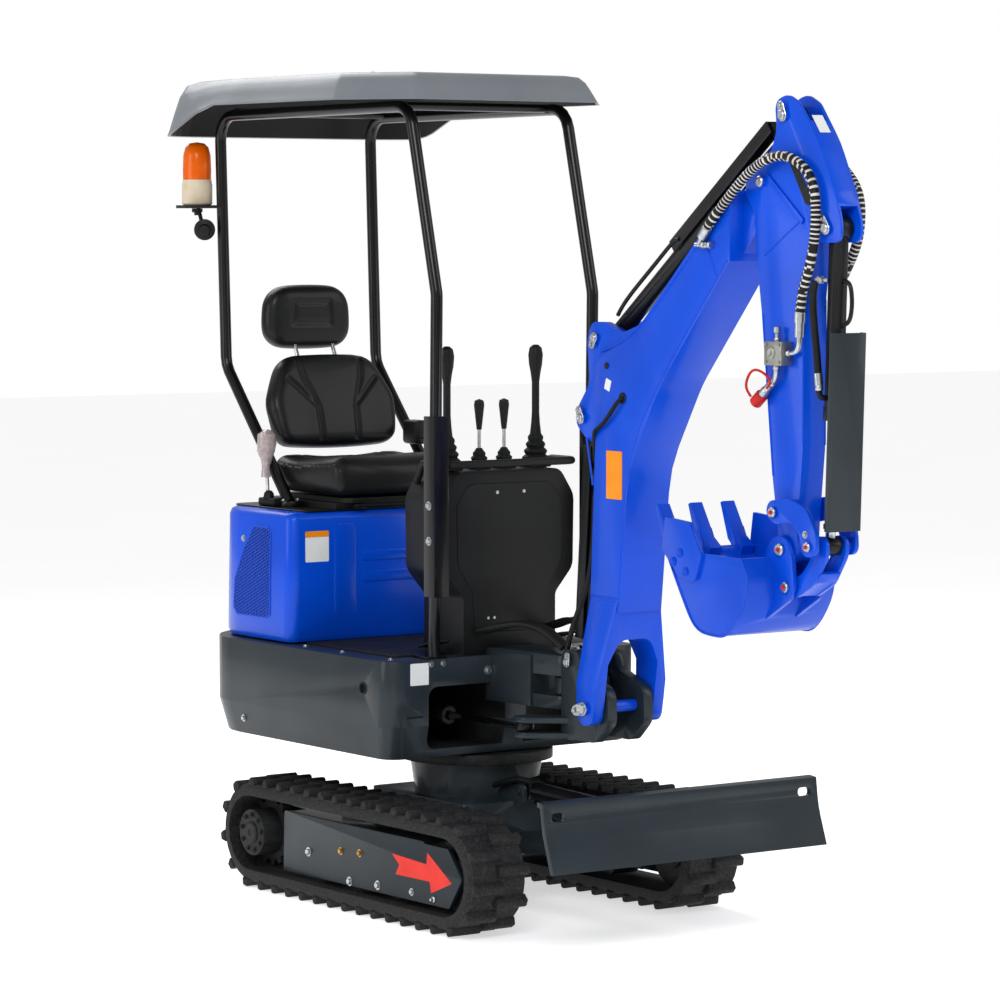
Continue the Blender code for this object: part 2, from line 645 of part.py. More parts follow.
def build_bracket(body_of):
    """The swing bracket: a knuckle on the swing pin, the boom's ears and the ram's arm."""
    knuckle = rod((0, SWING_PIN_Y, 0.616), (0, SWING_PIN_Y, 0.659), 0.045, 24)
    neck = box((-0.04, 0.04), (-0.53, SWING_PIN_Y), (0.616, 0.659))
    spine = box((-0.074, 0.074), (-0.56, -0.512), (0.502, 0.668))
    ear_plan = rounded(
        [(-0.505, 0.745, 0.03), (-0.505, 0.505), (-0.655, 0.505, 0.03), (-0.715, 0.56, 0.04), (-0.712,
                0.65, 0.04),
         (-0.60, 0.69, 0.03), (-0.58, 0.745, 0.03)]
    )
    ears = [prism(ear_plan, "x", x - 0.015, x + 0.015) for x in (-0.06, 0.06)]
    ram_pin = cross_pin(BOOM_RAM_LOW, 0.082, 0.009, 16)
    x, y = SWING_RAM_FRONT
    arm_plan = rounded([(x - 0.03, y + 0.03, 0.028), (x - 0.03, y - 0.035, 0.028), (-0.05, -0.557),
            (-0.02, -0.557), (-0.02, -0.50), (x + 0.04, y + 0.03, 0.02)])
    arms = [prism(arm_plan, "z", *z) for z in ((0.505, 0.519), (0.546, 0.56))]
    bores = [
        rod((0, SWING_PIN_Y, 0.55), (0, SWING_PIN_Y, 0.74), 0.018 + PIN_GAP, 20),
        cross_pin(BOOM_FOOT, 0.1, 0.016 + PIN_GAP, 20),
    ]
    bracket = cut(union(knuckle, neck, spine, *ears, *arms), *bores)
    node("swing_bracket", union(bracket, ram_pin), FRAME_PAINT, body_of)


def build_boom(body_of):
    """The cranked box boom with its forked foot, ram ears and narrow nose."""
    box_side = rounded(
        [(-0.628, 0.86), (-0.650, 1.30), (-0.650, 1.52, 0.05), (-0.83, 1.605, 0.03), (-1.215, 1.964),
                (-1.215, 1.786),
         (-0.93, 1.463, 0.35), (-0.795, 1.24, 0.30), (-0.755, 0.86)]
    )
    beam = prism(box_side, "x", -BOOM_HALF_WIDTH, BOOM_HALF_WIDTH)
    y, z = ARM_PIVOT
    nose_side = rounded([(-1.16, 1.905), (-1.225, 1.962, 0.1), (y - 0.02, z + 0.062, 0.06), (y - 0.066,
            z - 0.02, 0.06), (-1.20, 1.790), (-1.16, 1.750)])
    nose = prism(nose_side, "x", -0.0245, 0.0245)
    ear_side = rounded(
        [(-0.70, 1.28), (-0.60, 1.315, 0.03), (-0.553, 1.352, 0.032), (-0.57, 1.40, 0.03), (-0.618, 1.46,
                0.04),
         (-0.607, 1.57, 0.03), (-0.625, 1.622, 0.03), (-0.68, 1.622, 0.03), (-0.76, 1.595, 0.05), (-0.86,
                 1.625)]
    )
    ears = [prism(ear_side, "x", x - 0.0125, x + 0.0125) for x in (-0.0525, 0.0525)]
    notch = prism([(-0.50, 1.20), (-0.655, 1.29), (-0.655, 1.66), (-0.50, 1.70)], "x", -0.0395, 0.0395)
    foot_y, foot_z = BOOM_FOOT
    foot_side = rounded([(-0.630, 0.90), (foot_y + 0.038, foot_z + 0.01, 0.037), (foot_y + 0.03,
            foot_z - 0.045, 0.03), (foot_y - 0.03, foot_z - 0.045, 0.03), (foot_y - 0.042, foot_z + 0.02,
            0.037), (-0.752, 0.90)])
    fork = prism(foot_side, "x", -0.115, 0.115)
    front_view = [(-0.117, 0.5), (0.117, 0.5), (0.117, 0.66), (0.0705, 0.89), (0.0705, 0.95), (-0.0705,
            0.95), (-0.0705, 0.89), (-0.117, 0.66)]
    common(fork, prism(front_view, "y", -0.9, -0.5))
    arch = prism(rounded([(-0.082, 0.5), (0.082, 0.5), (0.082, 0.72), (0.05, 0.785, 0.04), (-0.05, 0.785,
            0.04), (-0.082, 0.72)]), "y", -0.9, -0.5)
    pin = cross_pin(BOOM_FOOT, 0.124, 0.016, 20)
    rear_pin = cross_pin(ARM_RAM_LOW, 0.072, 0.009, 16)
    stubs = [cross_pin(BOOM_RAM_HIGH, 0.006, 0.012, x=x) for x in (-0.067, 0.067)]
    bore = cross_pin(ARM_PIVOT, 0.06, 0.014 + PIN_GAP, 20)
    boom = cut(union(beam, nose, cut(fork, arch)), bore, notch)
    node("boom", union(boom, *ears, pin, rear_pin, *stubs), BLUE_PAINT, body_of)


def build_arm(body_of):
    """The arm: a box with a two-plate head that takes the boom's nose and two rams."""
    y, z = ARM_PIVOT
    outline = rounded(
        [
            (-1.350, 2.185, 0.03), (-1.400, 2.200, 0.04), (-1.445, 2.178, 0.04), (-1.520, 2.080, 0.3),
            (-1.585, 1.950, 0.2), (-1.608, 1.880, 0.1), (-1.605, 1.833, 0.035), (-1.535, 1.833, 0.02),
            (-1.492, 1.858, 0.008), (-1.468, 1.700), (-1.466, 1.320), (-1.448, 1.145), (-1.442, 1.036,
                    0.03),
            (-1.366, 1.036, 0.03), (-1.366, 1.140), (-1.349, 1.240), (-1.303, 1.652), (-1.283, 1.784),
            (-1.272, 1.905, 0.05), (-1.236, 1.955, 0.03), (-1.236, 2.020, 0.03), (-1.335, 2.058, 0.03),
            (-1.358, 2.110, 0.06),
        ]
    )
    body_shape = prism(outline, "x", -ARM_HALF_WIDTH, ARM_HALF_WIDTH)
    head_space = rounded(
        [(-1.18, 2.26), (-1.50, 2.26), (-1.50, 2.135), (-1.462, 2.132), (-1.502, 2.072, 0.2), (-1.562,
                1.962, 0.02),
         (-1.520, 1.945, 0.02), (-1.440, 1.930, 0.02), (-1.385, 1.893, 0.02), (-1.22, 1.762), (-1.18,
                 1.762)]
    )
    mouth = rounded([(-1.70, 1.96), (-1.70, 1.76), (-1.480, 1.76), (-1.505, 1.85), (-1.515, 1.908,
            0.015), (-1.62, 1.928)])
    spaces = [prism(head_space, "x", -HEAD_GAP, HEAD_GAP), prism(mouth, "x", -HEAD_GAP, HEAD_GAP)]
    boss = cross_pin(ROCKER_PIN, 0.0565, 0.022, 20)
    pins = [
        cross_pin(ARM_PIVOT, 0.046, 0.014, 20),
        cross_pin(ROCKER_PIN, 0.074, 0.011, 16),
        cross_pin(BUCKET_RAM_HIGH, 0.043, 0.009, 16),
    ]
    stubs = [cross_pin(ARM_RAM_HIGH, 0.005, 0.014, x=x) for x in (-0.038, 0.038)]
    bore = cross_pin(BUCKET_PIVOT, 0.08, 0.013 + PIN_GAP, 20)
    arm = cut(body_shape, *spaces)
    node("arm", cut(union(arm, boss, *pins, *stubs), bore), BLUE_PAINT, body_of)


def build_linkage(rocker_body, link_body):
    """The two rocker arms beside the arm's tip, and the bucket's push link."""
    rocker = rounded(
        [(-1.362, 1.155, 0.024), (-1.372, 1.190, 0.028), (-1.45, 1.200, 0.05), (-1.518, 1.180, 0.05),
                (-1.556, 1.12, 0.05),
         (-1.560, 1.060, 0.026), (-1.508, 1.058, 0.024), (-1.492, 1.12, 0.04), (-1.455, 1.142,
                 0.04), (-1.40, 1.132, 0.024)]
    )
    for name, x in (("rocker_right", -0.064), ("rocker_left", 0.064)):
        plate = prism(rocker, "x", x - 0.006, x + 0.006)
        pin = cross_pin(BUCKET_RAM_LOW, 0.010, 0.012, x=x)
        bore = cross_pin(ROCKER_PIN, 0.1, 0.011 + PIN_GAP, 16)
        node(name, cut(union(plate, pin), bore), BLUE_PAINT, rocker_body)
    link = rounded(
        [(-1.400, 0.956, 0.024), (-1.445, 0.950, 0.024), (-1.51, 0.985, 0.06), (-1.562, 1.065, 0.05),
                (-1.556, 1.110, 0.024),
         (-1.510, 1.108, 0.022), (-1.500, 1.05, 0.05), (-1.462, 1.005, 0.05), (-1.405, 0.998, 0.02)]
    )
    plates = [prism(link, "x", x - 0.006, x + 0.006) for x in (-0.0315, 0.0315)]
    web_side = rounded([(-1.445, 0.952, 0.02), (-1.510, 0.988, 0.05), (-1.534, 1.014), (-1.526, 1.020),
            (-1.505, 0.997, 0.05), (-1.443, 0.962)])
    web = prism(web_side, "x", -0.032, 0.032)
    tube = cross_pin(LINK_PIN, 0.0385, 0.0225, 20)
    bore = cross_pin(LINK_PIN, 0.1, 0.011 + PIN_GAP, 16)
    node("bucket_link", cut(union(tube, *plates, web), bore), BLUE_PAINT, link_body)


def build_bucket(body_of):
    """The bucket: a curved shell with side plates, ears, three teeth and side cutters."""
    outer = rounded(
        [(-1.045, 1.052), (-1.120, 0.925, 0.25), (-1.180, 0.845, 0.06), (-1.305, 0.845, 0.07), (-1.375,
                0.93, 0.12),
         (-1.382, 1.000, 0.05), (-1.352, 1.046)]
    )
    inner = rounded(
        [(-1.040, 1.075), (-1.057, 1.042), (-1.130, 0.928, 0.25), (-1.186, 0.853, 0.05), (-1.300, 0.853,
                0.06),
         (-1.366, 0.933, 0.11), (-1.373, 0.997, 0.04), (-1.325, 1.075)]
    )
    shell = prism(outer, "x", -BUCKET_HALF_WIDTH, BUCKET_HALF_WIDTH)
    hollow = prism(inner, "x", 0.009 - BUCKET_HALF_WIDTH, BUCKET_HALF_WIDTH - 0.009)
    ear = rounded(
        [(-1.330, 1.044), (-1.372, 1.100, 0.03), (-1.425, 1.102, 0.03), (-1.446, 1.05, 0.04), (-1.455,
                0.975, 0.03),
         (-1.437, 0.944, 0.03), (-1.345, 0.890), (-1.352, 0.95)]
    )
    ears = [prism(ear, "x", x - 0.006, x + 0.006) for x in (-0.048, 0.048)]
    tooth = [(-1.078, 1.050), (-1.060, 1.010), (-1.030, 1.052), (-1.015, 1.065), (-0.983, 1.158),
            (-0.993, 1.162), (-1.045, 1.075)]
    teeth = [prism(tooth, "x", x - 0.019, x + 0.019) for x in (-0.106, 0.0, 0.106)]
    cutter = rounded([(-1.042, 1.050), (-1.055, 1.134), (-1.155, 1.126), (-1.205, 1.045, 0.02), (-1.180,
            0.975, 0.02), (-1.115, 0.985, 0.02)])
    cutters = [prism(cutter, "x", x - 0.006, x + 0.006) for x in (-0.144, 0.144)]
    pins = [cross_pin(BUCKET_PIVOT, 0.0565, 0.013, 20), cross_pin(LINK_PIN, 0.0565, 0.011, 16)]
    node("bucket", union(cut(shell, hollow), *ears, *teeth, *cutters, *pins), BLUE_PAINT, body_of)


# ---- assembly -----------------------------------------------------------------------


def main():
    root = {"empty": ROOT, "pivot": Vector((0, 0, 0))}
    for side_name, hand in (("right", -1), ("left", 1)):
        build_track("track_" + side_name, hand, root)
        build_track_frame("track_frame_" + side_name, hand, root)
        build_wheels(side_name, hand, root)
    build_centre_frame(root)
    blade = body("blade_pivot", root, side(BLADE_PIVOT))
    blade_barrel = body("blade_ram_pivot", root, side(BLADE_RAM_REAR))
    blade_rod = body("blade_ram_slide", blade_barrel, side(BLADE_RAM_FRONT))
    build_blade(blade)
    build_ram("blade_ram", side(BLADE_RAM_REAR), side(BLADE_RAM_FRONT), 0.36, 0.11, (blade_barrel,
            blade_rod), eye=0.024)

    upper = body("slew_pivot", root, (0, 0, RING_TOP_Z))
    build_deck(upper)
    build_hood(upper)
    build_floor(upper)
    build_seat(upper)
    build_console(upper)
    build_canopy(upper)

    swing_rear, swing_front = ((*place, SWING_RAM_Z) for place in (SWING_RAM_REAR, SWING_RAM_FRONT))
    swing_barrel = body("swing_ram_pivot", upper, swing_rear)
    swing_rod = body("swing_ram_slide", swing_barrel, swing_front)
    build_ram("swing_ram", swing_rear, swing_front, 0.36, 0.16, (swing_barrel, swing_rod), eye=0.0125,
            rod_radius=0.0115, flip=True)

    swing = body("swing_pivot", upper, (0, SWING_PIN_Y, 0.64))
    build_bracket(swing)
    boom = body("boom_pivot", swing, side(BOOM_FOOT))
    build_boom(boom)
    boom_barrel = body("boom_ram_pivot", swing, side(BOOM_RAM_LOW))
    boom_rod = body("boom_ram_slide", boom_barrel, side(BOOM_RAM_HIGH))
    build_ram("boom_ram", side(BOOM_RAM_LOW), side(BOOM_RAM_HIGH), 0.52, 0.10, (boom_barrel, boom_rod),
              guard=(0.06, 0.58, (0, 1, 0), 0.034, 0.036, 0.034))

    arm = body("arm_pivot", boom, side(ARM_PIVOT))
    build_arm(arm)
    arm_barrel = body("arm_ram_pivot", boom, side(ARM_RAM_LOW))
    arm_rod = body("arm_ram_slide", arm_barrel, side(ARM_RAM_HIGH))
    build_ram("arm_ram", side(ARM_RAM_LOW), side(ARM_RAM_HIGH), 0.56, 0.34, (arm_barrel, arm_rod),
              guard=(0.37, 0.865, (0, 1, 1), 0.034, 0.036, 0.034))

    bucket = body("bucket_pivot", arm, side(BUCKET_PIVOT))
    build_bucket(bucket)
    rocker = body("rocker_pivot", arm, side(ROCKER_PIN))
    link = body("link_pivot", bucket, side(LINK_PIN))
    build_linkage(rocker, link)
    bucket_barrel = body("bucket_ram_pivot", arm, side(BUCKET_RAM_HIGH))
    bucket_rod = body("bucket_ram_slide", bucket_barrel, side(BUCKET_RAM_LOW))
    build_ram("bucket_ram", side(BUCKET_RAM_HIGH), side(BUCKET_RAM_LOW), 0.47, 0.27, (bucket_barrel,
            bucket_rod),
              guard=(0.255, 0.745, (0, -1, 0), 0.050, 0.055, 0.020))


clear_scene()
ROOT = empty("slew_axis", None, (0, SLEW_AXIS_Y, 0))
BLUE_PAINT = paint("blue_enamel", (0.005, 0.11, 0.62), 0.0, 0.3)
FRAME_PAINT = paint("slate_enamel", (0.035, 0.045, 0.052), 0.0, 0.4)
BLACK_PAINT = paint("black_enamel", (0.008, 0.008, 0.009), 0.0, 0.35)
RAM_PAINT = paint("ram_enamel", (0.012, 0.013, 0.014), 0.0, 0.35)
HUB_PAINT = paint("hub_enamel", (0.02, 0.021, 0.022), 0.0, 0.5)
RUBBER = paint("track_rubber", (0.018, 0.018, 0.019), 0.0, 0.7)
BLACK_PLASTIC = paint("black_plastic", (0.012, 0.012, 0.012), 0.0, 0.45)
BLACK_VINYL = paint("black_vinyl", (0.012, 0.012, 0.013), 0.0, 0.5)
ROOF_PLASTIC = paint("roof_plastic", (0.10, 0.105, 0.11), 0.0, 0.35)
AMBER = paint("amber_lens", (0.9, 0.25, 0.02), 0.0, 0.2)
main()
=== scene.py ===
"""Visual model of a one-tonne tracked mini excavator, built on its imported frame.

Places are in metres from the slew axis, +Z up, with the machine facing -Y and its left side
on +X. Each finished mesh is moved by AXIS_Y into the frame's own coordinates.
"""

import functools
import json
import logging
import math
from dataclasses import dataclass, field
from enum import Enum
from typing import Callable, Iterable, Sequence

import bmesh
import bpy
from mathutils import Matrix, Vector

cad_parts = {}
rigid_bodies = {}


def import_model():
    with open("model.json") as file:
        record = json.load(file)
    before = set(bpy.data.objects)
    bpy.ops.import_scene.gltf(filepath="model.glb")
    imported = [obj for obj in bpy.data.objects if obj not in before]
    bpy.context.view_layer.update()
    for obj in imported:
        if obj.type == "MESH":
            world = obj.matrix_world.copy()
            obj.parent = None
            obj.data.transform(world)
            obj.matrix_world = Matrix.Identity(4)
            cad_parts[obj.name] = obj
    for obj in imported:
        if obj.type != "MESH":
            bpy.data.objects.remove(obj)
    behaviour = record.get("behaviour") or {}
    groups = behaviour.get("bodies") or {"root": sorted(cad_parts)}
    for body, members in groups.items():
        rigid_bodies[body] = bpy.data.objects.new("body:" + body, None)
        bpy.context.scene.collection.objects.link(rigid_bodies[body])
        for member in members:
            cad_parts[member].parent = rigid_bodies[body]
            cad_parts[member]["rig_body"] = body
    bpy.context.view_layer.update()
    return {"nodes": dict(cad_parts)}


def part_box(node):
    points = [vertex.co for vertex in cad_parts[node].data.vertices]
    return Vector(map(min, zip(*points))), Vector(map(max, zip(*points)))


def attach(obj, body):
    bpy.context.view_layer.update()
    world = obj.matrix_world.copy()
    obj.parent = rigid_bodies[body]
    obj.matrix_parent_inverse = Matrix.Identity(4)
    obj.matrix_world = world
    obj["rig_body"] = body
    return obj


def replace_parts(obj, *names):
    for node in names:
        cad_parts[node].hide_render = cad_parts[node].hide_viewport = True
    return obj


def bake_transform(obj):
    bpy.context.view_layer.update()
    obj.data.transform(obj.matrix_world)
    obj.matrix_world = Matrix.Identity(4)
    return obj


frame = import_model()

SLEW_LOW, SLEW_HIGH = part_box("slew_ring")
AXIS_Y = (SLEW_LOW.y + SLEW_HIGH.y) / 2
LOG = logging.getLogger("mini_excavator")

Outline = Sequence[Sequence[float]]
FULL_TURN = math.tau
MM = 0.001


class Axis(Enum):
    """The direction that an outline is pushed along."""

    X = "x"
    Y = "y"
    Z = "z"


class Body(str, Enum):
    """The frame's bodies that pieces ride on."""

    UNDERCARRIAGE = "undercarriage"
    UPPER = "upper"
    SWING_POST = "swing_post"
    BOOM = "boom"
    ARM = "arm"
    BUCKET = "bucket"
    BLADE = "blade"
    ROCKER = "rocker"
    PUSH_LINK = "bucket_push_link"
    BUCKET_BARREL = "bucket_ram_barrel"


class Slot(str, Enum):
    """The names of the record's material slots."""

    BLUE = "blue_enamel"
    SLATE = "slate_enamel"
    BLACK = "black_enamel"
    RAM = "ram_enamel"
    HUB = "hub_enamel"
    RUBBER = "track_rubber"
    PLASTIC = "black_plastic"
    VINYL = "black_vinyl"
    ROOF = "roof_plastic"
    AMBER = "amber_lens"


class Grain(Enum):
    """The kind of fine relief on a surface."""

    SPRAYED = "sprayed"
    CELLS = "cells"
    DIAMONDS = "diamonds"


# ---- node tools -----------------------------------------------------------------------


def linear(code: str) -> tuple[float, float, float, float]:
    """Turns an sRGB hex colour into linear values.

    Args:
        code: The colour as #RRGGBB.

    Returns:
        Red, green, blue and an alpha of 1.
    """
    values = [int(code[i : i + 2], 16) / 255 for i in (1, 3, 5)]
    steps = [v / 12.92 if v <= 0.04045 else ((v + 0.055) / 1.055) ** 2.4 for v in values]
    return (steps[0], steps[1], steps[2], 1.0)


def add_node(tree: bpy.types.NodeTree, kind: str, settings: dict, links: dict) -> bpy.types.Node:
    """Adds a node with its settings and links.

    Args:
        tree: The material's node tree.
        kind: The node's type name.
        settings: Property values by lower-case name, and socket values by socket name.
        links: Output sockets by the name of the input that they feed.

    Returns:
        The new node.
    """
    node = tree.nodes.new(kind)
    for key, value in settings.items():
        if isinstance(key, str) and key[0].islower():
            setattr(node, key, value)
        else:
            node.inputs[key].default_value = value
    for key, source in links.items():
        tree.links.new(source, node.inputs[key])
    return node


# ---- finishes -------------------------------------------------------------------------


@dataclass(frozen=True)
class Finish:
    """A real finish: its colours, gloss, and the size of its patches and grain."""

    name: str
    base: str
    tint: str
    roughness: tuple[float, float]
    patch_mm: float = 220.0
    grain: Grain = Grain.SPRAYED
    grain_mm: float = 3.0
    relief_mm: float = 0.02
    metallic: float = 0.0
    coat: float = 0.0
    dust: str = ""
    dust_share: float = 0.0
    sheen: float = 0.0
    transmission: float = 0.0
    glow: float = 0.0
    shine: float = 0.2

    def material(self) -> bpy.types.Material:
        """Builds the finish's material once and hands it back after that."""
        return build_material(self)


@functools.lru_cache(maxsize=None)
def build_material(finish: Finish) -> bpy.types.Material:
    """Makes the node tree for a finish.

    Args:
        finish: The finish to build.

    Returns:
        Its material.
    """
    material = bpy.data.materials.new(finish.name)
    material.use_nodes = True
    tree = material.node_tree
    tree.nodes.clear()
    place = add_node(tree, "ShaderNodeTexCoord", {}, {}).outputs["Object"]
    patches = add_node(tree, "ShaderNodeTexNoise", {"Scale": 1000 / finish.patch_mm, "Detail": 3.0, "Roughness": 0.55}, {"Vector": place})
    share = add_node(tree, "ShaderNodeMapRange", {"From Min": 0.32, "From Max": 0.68}, {"Value": patches.outputs["Fac"]})
    colour = add_node(
        tree, "ShaderNodeMix", {"data_type": "RGBA", 6: linear(finish.base), 7: linear(finish.tint)}, {0: share.outputs["Result"]}
    ).outputs[2]
    if finish.dust:
        fine = add_node(tree, "ShaderNodeTexNoise", {"Scale": 1000 / 9.0, "Detail": 6.0, "Roughness": 0.7}, {"Vector": place})
        laid = add_node(
            tree, "ShaderNodeMapRange", {"From Min": 0.45, "From Max": 0.78, "To Max": finish.dust_share}, {"Value": fine.outputs["Fac"]}
        )
        colour = add_node(
            tree, "ShaderNodeMix", {"data_type": "RGBA", 7: linear(finish.dust)}, {0: laid.outputs["Result"], 6: colour}
        ).outputs[2]
    gloss = add_node(
        tree,
        "ShaderNodeMapRange",
        {"To Min": finish.roughness[0], "To Max": finish.roughness[1]},
        {"Value": patches.outputs["Fac"]},
    )
    if finish.grain is Grain.CELLS:
        texture = add_node(tree, "ShaderNodeTexVoronoi", {"Scale": 1000 / finish.grain_mm, "feature": "SMOOTH_F1"}, {"Vector": place})
        height = texture.outputs["Distance"]
    elif finish.grain is Grain.DIAMONDS:
        turned = add_node(tree, "ShaderNodeMapping", {"Rotation": (0.0, 0.0, math.radians(45)), "Scale": (1.0, 1.0, 0.0)}, {"Vector": place})
        texture = add_node(tree, "ShaderNodeTexVoronoi", {"Scale": 1000 / finish.grain_mm, "Randomness": 0.0, "distance": "CHEBYCHEV"}, {"Vector": turned.outputs["Vector"]})
        edge = add_node(tree, "ShaderNodeMapRange", {"From Min": 0.28, "From Max": 0.40, "To Min": 1.0, "To Max": 0.0}, {"Value": texture.outputs["Distance"]})
        height = edge.outputs["Result"]
    else:
        texture = add_node(tree, "ShaderNodeTexNoise", {"Scale": 1000 / finish.grain_mm, "Detail": 2.0}, {"Vector": place})
        height = texture.outputs["Fac"]
    bump = add_node(tree, "ShaderNodeBump", {"Strength": 1.0, "Distance": finish.relief_mm * MM}, {"Height": height})
    shader = add_node(
        tree,
        "ShaderNodeBsdfPrincipled",
        {
            "Metallic": finish.metallic,
            "Coat Weight": finish.coat,
            "Coat Roughness": 0.08,
            "Specular IOR Level": finish.shine,
            "Sheen Weight": finish.sheen,
            "Transmission Weight": finish.transmission,
        },
        {"Base Color": colour, "Roughness": gloss.outputs["Result"], "Normal": bump.outputs["Normal"]},
    )
    if finish.glow:
        shader.inputs["Emission Color"].default_value = linear(finish.base)
        shader.inputs["Emission Strength"].default_value = finish.glow
    add_node(tree, "ShaderNodeOutputMaterial", {}, {"Surface": shader.outputs["BSDF"]})
    return material


# Sprayed and baked alkyd enamel: deep colour under a wet-looking gloss with faint orange peel.
BLUE_ENAMEL = Finish("blue_sprayed_enamel", "#004CD6", "#0044C4", (0.24, 0.34), 260, grain_mm=4.0, relief_mm=0.03, coat=0.1)
# The same enamel in slate grey, a little flatter, so broad faces read as soft dark bands.
SLATE_ENAMEL = Finish("slate_sprayed_enamel", "#262F35", "#20282D", (0.32, 0.44), 180, grain_mm=4.0, relief_mm=0.03, coat=0.15)
# Gloss black enamel on steel tube: near black with long narrow highlights.
BLACK_ENAMEL = Finish("gloss_black_tube_enamel", "#090A0B", "#0E0F10", (0.24, 0.36), 150, grain_mm=4.0, relief_mm=0.02, coat=0.25)
# Satin black on ram barrels and brackets, greyer where it catches dust.
RAM_ENAMEL = Finish("satin_black_ram_enamel", "#0E0F11", "#141517", (0.34, 0.46), 120, grain_mm=3.0, relief_mm=0.03, coat=0.1)
# Painted castings: matt and slightly pitted. The same dark paint is also laid as painted shade inside the deck's front
# pockets and over the arm head's openings.
DARK_CAST_PAINT_AND_SHADE = Finish("matt_cast_paint_and_painted_shade", "#141517", "#1E2022", (0.46, 0.6), 60, grain_mm=2.5, relief_mm=0.12, dust="#5A5650", dust_share=0.2)
# Vulcanised track rubber: matt black with pale dust in its pores.
TRACK_RUBBER = Finish("vulcanised_track_rubber", "#1A1B1D", "#232425", (0.6, 0.78), 70, grain_mm=2.5, relief_mm=0.18, dust="#5E5B59", dust_share=0.35)
# Smooth extruded hose rubber with a soft sheen.
HOSE_RUBBER = Finish("extruded_hose_rubber", "#101112", "#18191A", (0.42, 0.55), 40, grain_mm=2.0, relief_mm=0.05)
# Injection moulded ABS with a spark-eroded grain that breaks up the highlights.
BLACK_ABS = Finish("grained_black_abs", "#131415", "#191A1B", (0.42, 0.52), 140, Grain.CELLS, 2.2, 0.10)
# Soft moulded rubber of the lever boots, matt with a bloom.
BOOT_RUBBER = Finish("moulded_boot_rubber", "#141516", "#1C1D1E", (0.5, 0.64), 50, grain_mm=2.0, relief_mm=0.08)
# PVC seat cover with an embossed leather grain; cells of 3 mm are coarser than real so they show.
SEAT_VINYL = Finish("embossed_seat_vinyl", "#0F1011", "#161718", (0.36, 0.46), 90, Grain.CELLS, 3.0, 0.10, coat=0.08)
# Thermoformed roof sheet: mid grey with a smooth skin. Its grey is made lighter than its own as a painted highlight for
# the bright light on its front.
ROOF_GREY_WITH_PAINTED_HIGHLIGHT = Finish("thermoformed_grey_roof_with_painted_highlight", "#7A7F85", "#73787E", (0.3, 0.42), 240, grain_mm=5.0, relief_mm=0.03, coat=0.1)
# Ribbed rubber floor covering with 12 mm diamonds.
DIAMOND_MAT = Finish("diamond_rubber_mat", "#1B1C1D", "#242526", (0.5, 0.66), 90, Grain.DIAMONDS, 12.0, 0.9)
# Hard chrome on ground steel: bright with fine drag lines.
HARD_CHROME = Finish("ground_hard_chrome", "#D9DBDD", "#C6C9CC", (0.1, 0.2), 60, grain_mm=1.5, relief_mm=0.01, metallic=1.0)
# Bright zinc on fasteners: cool silver with cloudy patches.
BRIGHT_ZINC = Finish("bright_zinc_plate", "#C9CCCE", "#A9ADB1", (0.24, 0.42), 12, grain_mm=2.0, relief_mm=0.05, metallic=1.0)
# Yellow passivated zinc: warm straw gold.
YELLOW_ZINC = Finish("yellow_passivated_zinc", "#C9A565", "#A9824A", (0.28, 0.45), 12, grain_mm=2.0, relief_mm=0.05, metallic=1.0)
# Machined aluminium of the valve body.
VALVE_ALLOY = Finish("machined_valve_alloy", "#A7A79F", "#8D8E88", (0.38, 0.52), 20, grain_mm=1.5, relief_mm=0.06, metallic=0.9)
# Moulded caps in signal red.
RED_RUBBER = Finish("moulded_red_rubber", "#C8241F", "#B41C18", (0.36, 0.5), 30, grain_mm=2.0, relief_mm=0.05)
# Screen printed film: flat colour with a slight gloss.
WHITE_FILM = Finish("white_print_film", "#E9EAEA", "#DFE1E2", (0.3, 0.4), 60, grain_mm=3.0, relief_mm=0.01)
ORANGE_FILM = Finish("orange_print_film", "#F2931B", "#E88610", (0.3, 0.4), 60, grain_mm=3.0, relief_mm=0.01)
RED_FILM = Finish("red_print_film", "#EE3226", "#E02A1F", (0.3, 0.42), 60, grain_mm=3.0, relief_mm=0.01)
# White spiral wrap on the hoses, and the cream moulding under the lamp.
WHITE_WRAP = Finish("white_spiral_wrap", "#D8D4D0", "#BDB7B2", (0.35, 0.5), 30, grain_mm=2.0, relief_mm=0.04)
CREAM_ABS = Finish("cream_moulded_abs", "#D9CBB4", "#CCBCA2", (0.34, 0.46), 40, grain_mm=3.0, relief_mm=0.03)
# Cast acrylic lens: saturated amber that lets light through its ribs.
AMBER_ACRYLIC = Finish("amber_cast_acrylic", "#F06A08", "#E25C04", (0.12, 0.2), 40, grain_mm=6.0, relief_mm=0.05, transmission=0.15, glow=0.06)
# Thin clear film over the lever knob.
CLEAR_FILM = Finish("creased_clear_film", "#E6DCDC", "#CDB9B9", (0.1, 0.25), 12, grain_mm=8.0, relief_mm=1.2, transmission=0.55, coat=0.3)


# ---- shape tools ----------------------------------------------------------------------


def rounded(corners: Outline) -> list[tuple[float, float]]:
    """Draws an outline whose corners (a, b, radius) become arcs.

    Args:
        corners: Points (a, b), or (a, b, radius) for a round corner.

    Returns:
        The outline's points.
    """
    outline: list[tuple[float, float]] = []
    for index, corner in enumerate(corners):
        here = Vector(corner[:2])
        if len(corner) == 2:
            outline.append((here.x, here.y))
            continue
        before = Vector(corners[index - 1][:2]) - here
        after = Vector(corners[(index + 1) % len(corners)][:2]) - here
        half = before.angle(after) / 2
        radius = min(corner[2], 0.48 * min(before.length, after.length) * math.tan(half))
        centre = here + (before.normalized() + after.normalized()).normalized() * (radius / math.sin(half))
        start = here + before.normalized() * (radius / math.tan(half)) - centre
        turn = math.pi - 2 * half
        if before.x * after.y - before.y * after.x > 0:
            turn = -turn
        steps = max(3, round(abs(turn) / math.radians(11)))
        for step in range(steps + 1):
            spoke = Matrix.Rotation(turn * step / steps, 2) @ start
            outline.append(tuple(centre + spoke))
    return outline


